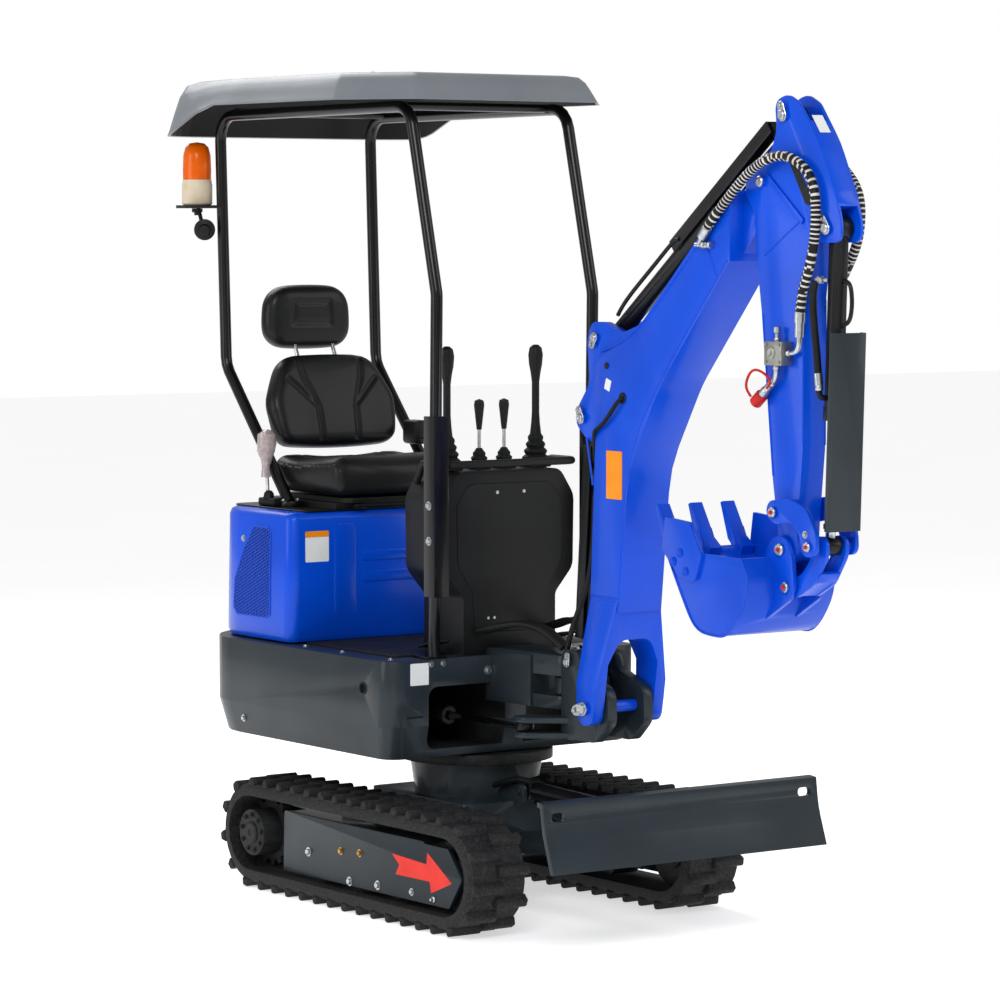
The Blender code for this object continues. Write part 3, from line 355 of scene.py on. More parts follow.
def prism(outline: Outline, axis: Axis, low: float, high: float) -> bmesh.types.BMesh:
    """Pushes an outline along an axis.

    Args:
        outline: Points in the plane across the axis.
        axis: The direction of the push.
        low: Where it starts.
        high: Where it ends.

    Returns:
        The closed shape.
    """
    places = {Axis.X: lambda a, b, c: (c, a, b), Axis.Y: lambda a, b, c: (a, c, b), Axis.Z: lambda a, b, c: (a, b, c)}
    place = places[axis]
    shape = bmesh.new()
    face = shape.faces.new([shape.verts.new(place(a, b, low)) for a, b in outline])
    raised = bmesh.ops.extrude_face_region(shape, geom=[face])["geom"]
    far = [item for item in raised if isinstance(item, bmesh.types.BMVert)]
    bmesh.ops.translate(shape, verts=far, vec=Vector(place(0, 0, high - low)))
    bmesh.ops.recalc_face_normals(shape, faces=shape.faces)
    return shape


def block(x: Sequence[float], y: Sequence[float], z: Sequence[float], soft: float = 0.0) -> bmesh.types.BMesh:
    """Makes a block between limits, its edges rounded by soft."""
    shape = bmesh.new()
    size = Matrix.Diagonal((x[1] - x[0], y[1] - y[0], z[1] - z[0], 1.0))
    middle = Matrix.Translation(((x[0] + x[1]) / 2, (y[0] + y[1]) / 2, (z[0] + z[1]) / 2))
    bmesh.ops.create_cube(shape, size=1.0, matrix=middle @ size)
    if soft:
        soften(shape, soft)
    return shape


def soften(shape: bmesh.types.BMesh, width: float, segments: int = 2, limit: float = 30.0) -> bmesh.types.BMesh:
    """Rounds every edge sharper than limit degrees."""
    edges = [e for e in shape.edges if len(e.link_faces) == 2 and e.calc_face_angle(0.0) > math.radians(limit)]
    bmesh.ops.bevel(
        shape, geom=edges, offset=width, segments=segments, profile=0.5, affect="EDGES", material=-1, clamp_overlap=True
    )
    return shape


def aim(place: Sequence[float], direction: Sequence[float]) -> Matrix:
    """The matrix that stands a shape made along +Z at a place, pointing in a direction."""
    turn = Vector(direction).normalized().to_track_quat("Z", "Y").to_matrix().to_4x4()
    return Matrix.Translation(place) @ turn


def lathe(profile: Outline, place: Sequence[float], direction: Sequence[float] = (0, 0, 1), steps: int = 28) -> bmesh.types.BMesh:
    """Spins a profile of (radius, height) points about a line.

    Args:
        profile: The points from one end to the other.
        place: Where height 0 stands.
        direction: The line's direction.
        steps: How many facets it has.

    Returns:
        The turned shape.
    """
    shape = bmesh.new()
    points = [shape.verts.new((radius, 0.0, height)) for radius, height in profile]
    edges = [shape.edges.new(pair) for pair in zip(points, points[1:])]
    bmesh.ops.spin(
        shape, geom=points + edges, cent=(0, 0, 0), axis=(0, 0, 1), angle=FULL_TURN, steps=steps, use_merge=True, use_duplicate=False
    )
    bmesh.ops.remove_doubles(shape, verts=shape.verts, dist=1e-6)
    bmesh.ops.transform(shape, matrix=aim(place, direction), verts=shape.verts)
    bmesh.ops.recalc_face_normals(shape, faces=shape.faces)
    return shape


def curve_through(points: Sequence[Sequence[float]], step: float) -> list[Vector]:
    """Lays evenly spaced points on a smooth curve through the given ones.

    Args:
        points: The points that the curve passes through.
        step: The distance between points on it.

    Returns:
        The curve's points, from first to last.
    """
    ends = [Vector(p) for p in points]
    guide = [2 * ends[0] - ends[1], *ends, 2 * ends[-1] - ends[-2]]
    fine: list[Vector] = []
    for a, b, c, d in zip(guide, guide[1:], guide[2:], guide[3:]):
        for part in range(24):
            t = part / 24
            fine.append(0.5 * (2 * b + (c - a) * t + (2 * a - 5 * b + 4 * c - d) * t * t + (3 * b - a - 3 * c + d) * t**3))
    fine.append(ends[-1])
    for _ in range(90):
        fine[1:-1] = [(a + 2 * b + c) / 4 for a, b, c in zip(fine, fine[1:], fine[2:])]
    laid, carried = [fine[0]], 0.0
    for before, after in zip(fine, fine[1:]):
        carried += (after - before).length
        if carried >= step:
            laid.append(after)
            carried = 0.0
    if (laid[-1] - fine[-1]).length > step * 0.4:
        laid.append(fine[-1])
    return laid


def sweep(path: Sequence[Vector], radius: float, sides: int = 12) -> bmesh.types.BMesh:
    """Draws a round section along a path, with capped ends.

    Args:
        path: The points of its centreline.
        radius: The section's radius.
        sides: How many facets the section has.

    Returns:
        The closed tube.
    """
    shape = bmesh.new()
    ways = [(b - a).normalized() for a, b in zip(path, path[1:])]
    ways = [ways[0]] + [(a + b).normalized() for a, b in zip(ways, ways[1:])] + [ways[-1]]
    turn = ways[0].to_track_quat("Z", "Y")
    frames = [Matrix.Translation(path[0]) @ turn.to_matrix().to_4x4()]
    for before, after, point in zip(ways, ways[1:], path[1:]):
        turn = before.rotation_difference(after) @ turn
        frames.append(Matrix.Translation(point) @ turn.to_matrix().to_4x4())
    made = bmesh.ops.create_circle(shape, cap_ends=True, segments=sides, radius=radius, matrix=frames[0])
    rim = list({edge for vert in made["verts"] for edge in vert.link_edges})
    for here, ahead in zip(frames, frames[1:]):
        grown = bmesh.ops.extrude_edge_only(shape, edges=rim)["geom"]
        fresh = [item for item in grown if isinstance(item, bmesh.types.BMVert)]
        rim = [item for item in grown if isinstance(item, bmesh.types.BMEdge)]
        rim = [edge for edge in rim if all(vert in fresh for vert in edge.verts)]
        bmesh.ops.transform(shape, matrix=ahead @ here.inverted(), verts=fresh)
    bmesh.ops.contextual_create(shape, geom=rim)
    bmesh.ops.recalc_face_normals(shape, faces=shape.faces)
    return shape


def tube(points: Sequence[Sequence[float]], radius: float, sides: int = 12, step: float = 0.008) -> bmesh.types.BMesh:
    """Draws a round bar or hose through points."""
    return sweep(curve_through(points, step), radius, sides)


def gather(shapes: Iterable[bmesh.types.BMesh]) -> bmesh.types.BMesh:
    """Puts several shapes in one, and frees them.

    Args:
        shapes: The shapes to bring together.

    Returns:
        One shape with all of them.
    """
    whole = bmesh.new()
    for shape in shapes:
        carrier = bpy.data.meshes.new("carrier")
        shape.to_mesh(carrier)
        shape.free()
        whole.from_mesh(carrier)
        bpy.data.meshes.remove(carrier)
    return whole


def moved(shape: bmesh.types.BMesh, matrix: Matrix) -> bmesh.types.BMesh:
    """Transforms a shape and hands it back."""
    bmesh.ops.transform(shape, matrix=matrix, verts=shape.verts)
    return shape


def both_sides(shape: bmesh.types.BMesh) -> bmesh.types.BMesh:
    """Adds the shape's mirror image across x = 0."""
    extra = shape.copy()
    bmesh.ops.scale(extra, verts=extra.verts, vec=Vector((-1, 1, 1)))
    bmesh.ops.reverse_faces(extra, faces=extra.faces)
    return gather([shape, extra])


def hex_bolt(place: Sequence[float], direction: Sequence[float], size: float = 0.006) -> bmesh.types.BMesh:
    """A hexagon head of this half width on its washer, facing a direction."""
    washer = lathe([(0, 0), (size * 1.75, 0), (size * 1.75, size * 0.22), (0, size * 0.22)], (0, 0, 0), steps=14)
    head = bmesh.new()
    bmesh.ops.create_cone(head, cap_ends=True, segments=6, radius1=size * 1.15, radius2=size * 1.15, depth=size * 0.85)
    soften(head, size * 0.12, 1, 40)
    bmesh.ops.translate(head, verts=head.verts, vec=(0, 0, size * 0.22 + size * 0.425))
    return moved(gather([washer, head]), aim(place, direction))


def pin_head(place: Sequence[float], direction: Sequence[float], radius: float) -> bmesh.types.BMesh:
    """The chamfered round end of a pin."""
    tall = radius * 0.45
    rim = radius * 0.82
    return lathe([(0, 0), (radius, 0), (radius, tall * 0.6), (rim, tall), (rim * 0.5, tall), (rim * 0.4, tall * 0.7), (0, tall * 0.7)], place, direction, 24)


def keeper(place: Sequence[float], side: int, lean: float, radius: float = 0.013) -> list[bmesh.types.BMesh]:
    """A pin's head in its two-lobed keeper plate, with the keeper's bolt.

    Args:
        place: The pin's centre on the plate face.
        side: -1 if it faces the right, +1 if it faces the left.
        lean: The direction from the pin to the bolt, in degrees from +Y towards +Z.
        radius: The pin's radius.

    Returns:
        The keeper's shapes.
    """
    reach = radius * 1.95
    away = Vector((0, math.cos(math.radians(lean)), math.sin(math.radians(lean))))
    far = Vector(place) + away * reach
    across = Vector((0, -away.z, away.y))
    wide, narrow = radius * 1.35, radius * 0.85
    start = Vector(place)
    corners = [
        start - away * wide - across * wide, far + away * narrow - across * narrow, far + away * narrow + across * narrow, start - away * wide + across * wide,
    ]
    radii = (wide * 0.98, narrow * 0.98, narrow * 0.98, wide * 0.98)
    outline = rounded([(c.y, c.z, r) for c, r in zip(corners, radii)])
    low, high = sorted((place[0], place[0] + side * 0.004))
    plate = soften(prism(outline, Axis.X, low, high), 0.001, 1, 60)
    face = place[0] + side * 0.004
    return [
        plate,
        pin_head((face, start.y, start.z), (side, 0, 0), radius),
        hex_bolt((face, far.y, far.z), (side, 0, 0), radius * 0.42),
    ]


def piece(
    name: str,
    shape: bmesh.types.BMesh,
    body: Body | None,
    finishes: Sequence[Finish],
    slot: Slot | None = None,
    crease: float = 35.0,
) -> bpy.types.Object:
    """Turns a shape into a finished object of the machine.

    Args:
        name: The piece's name.
        shape: Its mesh, in the slew axis's frame.
        body: The body that it rides on, or None for one left without a body.
        finishes: Its materials by index.
        slot: The record's slot; not used.
        crease: Edges sharper than this many degrees stay crisp.

    Returns:
        The object.
    """
    bmesh.ops.remove_doubles(shape, verts=shape.verts, dist=2e-6)
    bmesh.ops.recalc_face_normals(shape, faces=shape.faces)
    bmesh.ops.translate(shape, verts=shape.verts, vec=(0, AXIS_Y, 0))
    mesh = bpy.data.meshes.new(name)
    shape.to_mesh(mesh)
    shape.free()
    mesh.shade_smooth()
    mesh.set_sharp_from_angle(angle=math.radians(crease))
    obj = bpy.data.objects.new(name, mesh)
    bpy.context.scene.collection.objects.link(obj)
    for finish in finishes:
        mesh.materials.append(finish.material())
    if body is not None:
        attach(obj, body.value)
    LOG.info("%s: %d faces", name, len(mesh.polygons))
    return obj


def dressed(
    node: str,
    finishes: Sequence[Finish],
    slot: Slot,
    width: float = 0.002,
    choose: Callable[[Vector], int] | None = None,
) -> bpy.types.Object:
    """Stands a soft-edged, painted copy in for a frame node.

    Args:
        node: The node's name.
        finishes: Its materials by index.
        slot: The record's slot; not used.
        width: The width of its rounded edges, or 0 for none.
        choose: Gives the material index from a face's middle, in the slew axis's frame.

    Returns:
        The copy.
    """
    source = frame["nodes"][node]
    shape = bmesh.new()
    shape.from_mesh(source.data)
    bmesh.ops.remove_doubles(shape, verts=shape.verts, dist=1e-5)
    for face in shape.faces:
        face.material_index = choose(face.calc_center_median() - Vector((0, AXIS_Y, 0))) if choose else 0
    bmesh.ops.dissolve_limit(
        shape, angle_limit=math.radians(0.6), use_dissolve_boundaries=False, verts=shape.verts, edges=shape.edges, delimit={"MATERIAL"}
    )
    mesh = bpy.data.meshes.new(node + "_skin")
    shape.to_mesh(mesh)
    shape.free()
    mesh.shade_smooth()
    obj = bpy.data.objects.new(node + "_skin", mesh)
    bpy.context.scene.collection.objects.link(obj)
    for finish in finishes:
        mesh.materials.append(finish.material())
    if width:
        bevel = obj.modifiers.new("soft_edges", "BEVEL")
        bevel.width = width
        bevel.segments = 2
        bevel.limit_method = "ANGLE"
        bevel.angle_limit = math.radians(32)
        bevel.use_clamp_overlap = True
        bevel.harden_normals = True
    else:
        mesh.set_sharp_from_angle(angle=math.radians(35))
    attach(obj, source["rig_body"])
    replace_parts(obj, node)
    LOG.info("%s dressed", node)
    return obj


# ---- undercarriage --------------------------------------------------------------------


@dataclass
class Tracks:
    """The two rubber tracks, their frames, wheels and the frame between them."""

    half_base: float = 0.4825
    cord_radius: float = 0.118
    axle_z: float = 0.158
    links: int = 37
    inner_x: float = 0.27
    outer_x: float = 0.45
    belt: tuple[float, float] = (-0.012, 0.021)
    lug_top: float = 0.040
    plate_x: float = 0.42

    def on_track(self, distance: float, offset: float) -> tuple[float, float]:
        """Finds the point (y, z) this far along the belt's cords and out from them."""
        straight, arc = 2 * self.half_base, math.pi * self.cord_radius
        distance %= 2 * (straight + arc)
        half, along = divmod(distance, straight + arc)
        sign = 1 - 2 * half
        reach = self.cord_radius + offset
        if along < straight:
            y, z = along - self.half_base, reach
        else:
            angle = (along - straight) / self.cord_radius
            y, z = self.half_base + reach * math.sin(angle), reach * math.cos(angle)
        return sign * y, self.axle_z + sign * z

    def belt_loop(self) -> bmesh.types.BMesh:
        """Carries the belt's section once round its path and closes it on itself."""
        steps = self.links * 3
        length = 2 * (2 * self.half_base + math.pi * self.cord_radius)
        low, high = self.belt
        section = [(self.inner_x, low), (self.outer_x, low), (self.outer_x, high - 0.012), (self.outer_x - 0.008, high), (self.inner_x + 0.008, high), (self.inner_x, high - 0.012)]
        shape = bmesh.new()
        points = [shape.verts.new((x, *self.on_track(0, offset))) for x, offset in section]
        first = rim = [shape.edges.new((a, b)) for a, b in zip(points, points[1:] + points[:1])]
        for step in range(1, steps):
            grown = bmesh.ops.extrude_edge_only(shape, edges=rim)["geom"]
            fresh = [item for item in grown if isinstance(item, bmesh.types.BMVert)]
            rim = [i for i in grown if isinstance(i, bmesh.types.BMEdge) and all(v in fresh for v in i.verts)]
            before, after = ((step - k) * length / steps for k in (1, 0))
            for vert in fresh:
                offset = min(section, key=lambda s: (Vector((s[0], *self.on_track(before, s[1]))) - vert.co).length)[1]
                vert.co.yz = self.on_track(after, offset)
        bmesh.ops.bridge_loops(shape, edges=rim + first)
        return shape

    def lugs(self) -> list[bmesh.types.BMesh]:
        """The tread: half-width bars, staggered about the middle of the belt."""
        pitch = 2 * (2 * self.half_base + math.pi * self.cord_radius) / self.links
        base = self.belt[1] - 0.003
        bars = []
        for link in range(self.links):
            for phase, low, high in ((0.0, 0.352, self.outer_x - 0.0005), (0.5, self.inner_x + 0.0005, 0.368)):
                outline = [
                    self.on_track((link + phase + share) * pitch, offset)
                    for share, offset in ((0.02, base), (0.12, self.lug_top), (0.34, self.lug_top), (0.46, base))
                ]
                bars.append(soften(prism(outline, Axis.X, low, high), 0.0035, 1, 30))
        return bars

    def build_track(self, side: str, hand: int) -> None:
        """Builds one track in place of its frame node."""
        shape = gather([self.belt_loop(), *self.lugs()])
        if hand < 0:
            bmesh.ops.scale(shape, verts=shape.verts, vec=Vector((-1, 1, 1)))
        obj = piece("track_tread_" + side, shape, Body.UNDERCARRIAGE, [TRACK_RUBBER], Slot.RUBBER, 40)
        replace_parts(obj, "track_" + side)

    def build_fastenings(self, side: str, hand: int) -> None:
        """Bolts, grease points and the direction arrow on the side plate and hub."""
        face, out = hand * self.plate_x, (hand, 0, 0)
        zinc = [hex_bolt((face, y, z), out, s) for y, z, s in ((-0.135, 0.088, 0.0075), (0.213, 0.135, 0.0075), (0.004, 0.080, 0.0075), (-0.30, 0.092, 0.006))]
        zinc.append(lathe([(0, 0), (0.009, 0), (0.009, 0.004), (0.005, 0.006), (0.004, 0.012), (0, 0.013)], (face, -0.405, 0.086), out, 14))
        piece("plate_bolts_" + side, gather(zinc), Body.UNDERCARRIAGE, [BRIGHT_ZINC])
        gold = [hex_bolt((face, y, z), out, 0.0065) for y, z in ((0.049, 0.158), (-0.046, 0.164))]
        piece("plate_gold_bolts_" + side, gather(gold), Body.UNDERCARRIAGE, [YELLOW_ZINC])
        arrow = [(-0.205, 0.184), (-0.370, 0.176), (-0.374, 0.208), (-0.489, 0.139), (-0.392, 0.101), (-0.385, 0.131), (-0.222, 0.130), (-0.240, 0.158)]
        low, high = sorted((face, face + hand * 0.0006))
        piece("direction_arrow_" + side, prism(arrow, Axis.X, low, high), Body.UNDERCARRIAGE, [RED_FILM])
        hub = hand * 0.44
        ring = []
        for turn in range(9):
            angle = FULL_TURN * (turn + 0.3) / 9
            y, z = self.half_base + 0.051 * math.cos(angle), self.axle_z + 0.051 * math.sin(angle)
            ring.append(lathe([(0, 0), (0.0065, 0), (0.0065, 0.006), (0.0035, 0.006), (0.0035, 0.003), (0, 0.003)], (hub, y, z), out, 12))
        cap = lathe([(0, 0), (0.031, 0), (0.031, 0.003), (0.026, 0.0065), (0.010, 0.0065), (0.008, 0.0045), (0, 0.0045)], (hub, self.half_base, self.axle_z), out, 32)
        piece("drive_hub_cap_" + side, gather([*ring, cap]), Body.UNDERCARRIAGE, [DARK_CAST_PAINT_AND_SHADE], Slot.HUB)

    def build(self) -> None:
        """Builds both sides and the frame between them."""
        for side, hand in (("right", -1), ("left", 1)):
            self.build_track(side, hand)
            self.build_fastenings(side, hand)
            dressed("track_frame_" + side, [SLATE_ENAMEL], Slot.SLATE, 0.002)
            dressed("sprocket_" + side, [DARK_CAST_PAINT_AND_SHADE], Slot.HUB, 0.0015)
            dressed("idler_" + side, [DARK_CAST_PAINT_AND_SHADE], Slot.HUB, 0.002)
        dressed("centre_frame", [SLATE_ENAMEL], Slot.SLATE, 0.0015)
        dressed("slew_ring", [DARK_CAST_PAINT_AND_SHADE], Slot.HUB, 0.0015)
        hoses = [
            tube([(x, -0.10, 0.32), (x * 1.05, -0.20, 0.345), (x, -0.27, 0.365), (x * 0.7, -0.31, 0.36)], 0.008, 10)
            for x in (0.052, -0.052)
        ]
        piece("blade_ram_hoses", gather(hoses), Body.UNDERCARRIAGE, [HOSE_RUBBER])


@dataclass
class Blade:
    """The dozer blade, its wear edge and its ram."""

    half_width: float = 0.45

    def build(self) -> None:
        """Dresses the blade and adds its welds and pin heads."""
        dressed("dozer_blade", [SLATE_ENAMEL], Slot.SLATE, 0.0018)
        dress_ram("blade_ram", (0, -0.262, 0.330), (0, -0.800, 0.315), 0.0125, HARD_CHROME)
        beads = [tube([(x, -0.942, 0.318), (x, -0.957, 0.262)], 0.004, 6, 0.02) for x in (-0.1405, -0.0995, 0.0995, 0.1405)]
        piece("blade_arm_welds", gather(beads), Body.BLADE, [SLATE_ENAMEL], Slot.SLATE)
        heads = [pin_head((side * 0.049, -0.800, 0.315), (side, 0, 0), 0.012) for side in (-1, 1)]
        piece("blade_pin_heads", gather(heads), Body.BLADE, [BRIGHT_ZINC])


def dress_ram(name: str, low: Sequence[float], high: Sequence[float], rod_radius: float, rod: Finish, guard: Finish = RAM_ENAMEL) -> None:
    """Dresses a ram: satin barrel, plated rod, and its guard if it has one.

    Args:
        name: The ram's name in the frame.
        low: The barrel's pin.
        high: The rod's pin.
        rod_radius: The rod's radius.
        rod: The rod's finish.
        guard: The guard's finish.
    """
    start, end = Vector(low), Vector(high)
    along = (end - start).normalized()
    reach = (end - start).length

    def choose(place: Vector) -> int:
        """Index 1 on the bare rod, 2 on what stands off it, 0 on its eye."""
        travel = (place - start).dot(along)
        off = (place - start - along * travel).length
        if travel < reach - 0.024 and off < rod_radius + 0.001:
            return 1
        return 2 if travel < reach - 0.026 and off > rod_radius + 0.007 else 0

    dressed(name + "_barrel", [RAM_ENAMEL], Slot.RAM, 0.001)
    dressed(name + "_rod", [RAM_ENAMEL, rod, guard], Slot.RAM, 0.0008, choose)


# ---- upper structure ------------------------------------------------------------------


@dataclass
class DeckAndHood:
    """The slate skirt, the diamond mat, the blue hood and what is fixed to them."""

    deck_x: float = 0.425
    deck_front: float = -0.190
    hood_x: float = 0.395
    hood_front: float = 0.350
    grille_pitch: float = 0.0085

    def grille(self) -> list[bmesh.types.BMesh]:
        """Crossed wires cut to the opening's outline by one plane for each of its edges."""
        outline = [(0.452, 0.775), (0.452, 1.012), (0.468, 1.026), (0.545, 1.026), (0.600, 0.955), (0.645, 0.868), (0.650, 0.785), (0.630, 0.765), (0.470, 0.765)]
        bars = []
        count = round(0.42 / self.grille_pitch)
        for lean in (-24, 78):
            spin = Matrix.Rotation(math.radians(lean), 4, "X")
            for index in range(count):
                offset = (index - count / 2) * self.grille_pitch
                bar = block((-0.0006, 0.0006), (-0.3, 0.3), (offset - 0.0012, offset + 0.0012))
                bars.append(moved(bar, Matrix.Translation((-self.hood_x - 0.0014, 0.55, 0.9)) @ spin))
        wires = gather(bars)
        for a, b in zip(outline, outline[1:] + outline[:1]):
            edge = Vector((0, b[0] - a[0], b[1] - a[1]))
            outward = Vector((0, edge.z, -edge.y))
            if outward.dot(Vector((0, a[0] - 0.55, a[1] - 0.9))) < 0:
                outward.negate()
            geom = [*wires.verts, *wires.edges, *wires.faces]
            bmesh.ops.bisect_plane(wires, geom=geom, plane_co=(0, a[0], a[1]), plane_no=outward, clear_outer=True)
        back = prism(outline, Axis.X, -self.hood_x - 0.0004, -self.hood_x + 0.004)
        rim = prism(outline, Axis.X, -self.hood_x - 0.0022, -self.hood_x + 0.004)
        front = max(rim.faces, key=lambda face: -face.calc_center_median().x)
        bmesh.ops.inset_region(rim, faces=[front], thickness=0.004, depth=0.0)
        bmesh.ops.delete(rim, geom=[f for f in rim.faces if len(f.verts) == len(outline) and abs(f.normal.x) > 0.9], context="FACES")
        tilt = Matrix.Translation((-self.hood_x, 0, 0.7)) @ Matrix.Rotation(math.radians(0.95), 4, "Y") @ Matrix.Translation((self.hood_x, 0, -0.7))
        return [moved(shape, tilt) for shape in (wires, back, rim)]

    def build_grilles(self) -> None:
        """Adds the side grilles, right and left."""
        wires, back, rim = self.grille()
        piece("hood_grille_wires", both_sides(wires), Body.UPPER, [BLUE_ENAMEL], Slot.BLUE)
        piece("hood_grille_backs", both_sides(back), Body.UPPER, [BLACK_ABS], Slot.PLASTIC)
        piece("hood_grille_rims", both_sides(rim), Body.UPPER, [BLUE_ENAMEL], Slot.BLUE)

    def build_pressings(self) -> None:
        """Adds the pressed panels on the hood's front and tail."""
        y = self.hood_front
        plates = []
        for x, z, r in (((-0.245, -0.170), (0.770, 1.035), 0.018), ((-0.150, 0.30), (0.925, 0.955), 0.012), ((-0.150, 0.30), (0.865, 0.897), 0.012)):
            outline = rounded([(x[0], z[0], r), (x[1], z[0], r), (x[1], z[1], r), (x[0], z[1], r)])
            plates.append(soften(prism(outline, Axis.Y, y - 0.003 + 0.008 * (z[1] - 0.7), y + 0.012), 0.0024, 2, 50))
        rear = rounded([(-0.16, 0.77, 0.02), (0.16, 0.77, 0.02), (0.16, 1.0, 0.02), (-0.16, 1.0, 0.02)])
        plates.append(soften(prism(rear, Axis.Y, 0.795, 0.8155), 0.0024, 2, 50))
        piece("hood_pressings", gather(plates), Body.UPPER, [BLUE_ENAMEL], Slot.BLUE, 30)
        slots = [prism(rounded([(-0.12, z, 0.005), (0.12, z, 0.005), (0.12, z + 0.012, 0.005), (-0.12, z + 0.012, 0.005)]), Axis.Y, 0.81, 0.8162) for z in (0.80, 0.83, 0.86, 0.89, 0.92, 0.95)]
        piece("tail_vent_slots", gather(slots), Body.UPPER, [BLACK_ABS], Slot.PLASTIC)

    def build_labels(self) -> None:
        """Adds the blank plates that stand for printed labels."""
        y = self.hood_front
        lean = prism(rounded([(-0.340, 0.930, 0.004), (-0.262, 0.930, 0.004), (-0.262, 1.0, 0.001), (-0.340, 1.0, 0.001)]), Axis.Y, y + 0.0006, y + 0.006)
        head = prism(rounded([(-0.340, 1.0005, 0.001), (-0.262, 1.0005, 0.001), (-0.262, 1.017, 0.004), (-0.340, 1.017, 0.004)]), Axis.Y, y + 0.0006, y + 0.006)
        piece("hood_label", lean, Body.UPPER, [WHITE_FILM])
        piece("hood_label_band", head, Body.UPPER, [ORANGE_FILM])
        front = self.deck_front
        tag = prism(rounded([(-0.350, 0.632, 0.003), (-0.290, 0.632, 0.003), (-0.290, 0.692, 0.003), (-0.350, 0.692, 0.003)]), Axis.Y, front - 0.0006, front + 0.002)
        piece("deck_label", tag, Body.UPPER, [WHITE_FILM])

    def build_fittings(self) -> None:
        """Adds the deck's bolts, side plugs, foot pedals and the plate under the seat."""
        bolts = []
        for side in (-1, 1):
            bolts.append(hex_bolt((side * 0.4165, 0.56, 0.475), (side, 0, -0.1), 0.006))
            bolts.append(hex_bolt((side * 0.390, 0.600, 0.985), (side, 0, 0.02), 0.0055))
            bolts += [hex_bolt((side * 0.262 + dx, -0.1895, 0.687), (0, -1, 0), 0.0055) for dx in (0.02, -0.02)]
        bolts.append(hex_bolt((-0.093, self.deck_front, 0.66), (0, -1, 0), 0.008))
        bolts += [hex_bolt((x, y, 0.7), (0, 0, 1), 0.005) for x in (-0.38, 0.38) for y in (-0.14, 0.10, 0.29)]
        piece("deck_bolts", gather(bolts), Body.UPPER, [BRIGHT_ZINC])
        plug = lathe([(0.0125, -0.004), (0.0175, -0.001), (0.0175, 0.0015), (0.014, 0.003), (0.0125, 0.001), (0.0125, -0.004)], (-self.deck_x, -0.07, 0.62), (-1, 0, 0), 28)
        piece("deck_side_plugs", both_sides(plug), Body.UPPER, [BOOT_RUBBER], Slot.PLASTIC)
        plate = prism(rounded([(-0.335, 0.362, 0.02), (0.30, 0.362, 0.02), (0.30, 0.76, 0.04), (-0.335, 0.76, 0.04)]), Axis.Z, 1.0703, 1.0745)
        piece("seat_mounting_plate", soften(plate, 0.001, 1, 50), Body.UPPER, [RAM_ENAMEL], Slot.BLACK)
        seam = tube([(x, -0.191, 0.545) for x in (-0.36, -0.31)], 0.002, 6, 0.02)
        pads = [soften(prism(rounded([(s * 0.245, -0.145, 0.012), (s * 0.185, -0.145, 0.012), (s * 0.185, -0.06, 0.012), (s * 0.245, -0.06, 0.012)]), Axis.Z, 0.0, 0.006), 0.0015, 2, 50) for s in (-1, 1)]
        pads = [moved(pad, Matrix.Translation((0, 0, 0.728)) @ Matrix.Translation((0, -0.1, 0)) @ Matrix.Rotation(math.radians(-14), 4, "X") @ Matrix.Translation((0, 0.1, 0))) for pad in pads]
        posts = [tube([(s * 0.215, -0.095, 0.705), (s * 0.215, -0.098, 0.73)], 0.006, 10, 0.02) for s in (-1, 1)]
        piece("foot_pedals", gather([*pads, *posts, seam]), Body.UPPER, [BLACK_ABS], Slot.PLASTIC)

    @staticmethod
    def painted_pocket_shade(place: Vector) -> int:
        """Index 1, the dark cast paint, on the faces inside the deck's front pockets: painted shade for their deep
        shadow.
        """
        return int(0.03 < abs(place.x) < 0.2915 and -0.185 < place.y < 0.345 and 0.45 < place.z < 0.6265)

    def build(self) -> None:
        """Builds the deck, the mat and the hood."""
        # The faces inside the deck's front pockets take the dark cast paint as painted shade.
        dressed("deck", [SLATE_ENAMEL, DARK_CAST_PAINT_AND_SHADE], Slot.SLATE, 0.003, self.painted_pocket_shade)
        dressed("floor_mat", [DIAMOND_MAT], Slot.RUBBER, 0.001)
        dressed("hood", [BLUE_ENAMEL], Slot.BLUE, 0.0)
        dressed("engine_block", [DARK_CAST_PAINT_AND_SHADE], Slot.HUB, 0.004)
        self.build_grilles()
        self.build_pressings()
        self.build_labels()
        self.build_fittings()


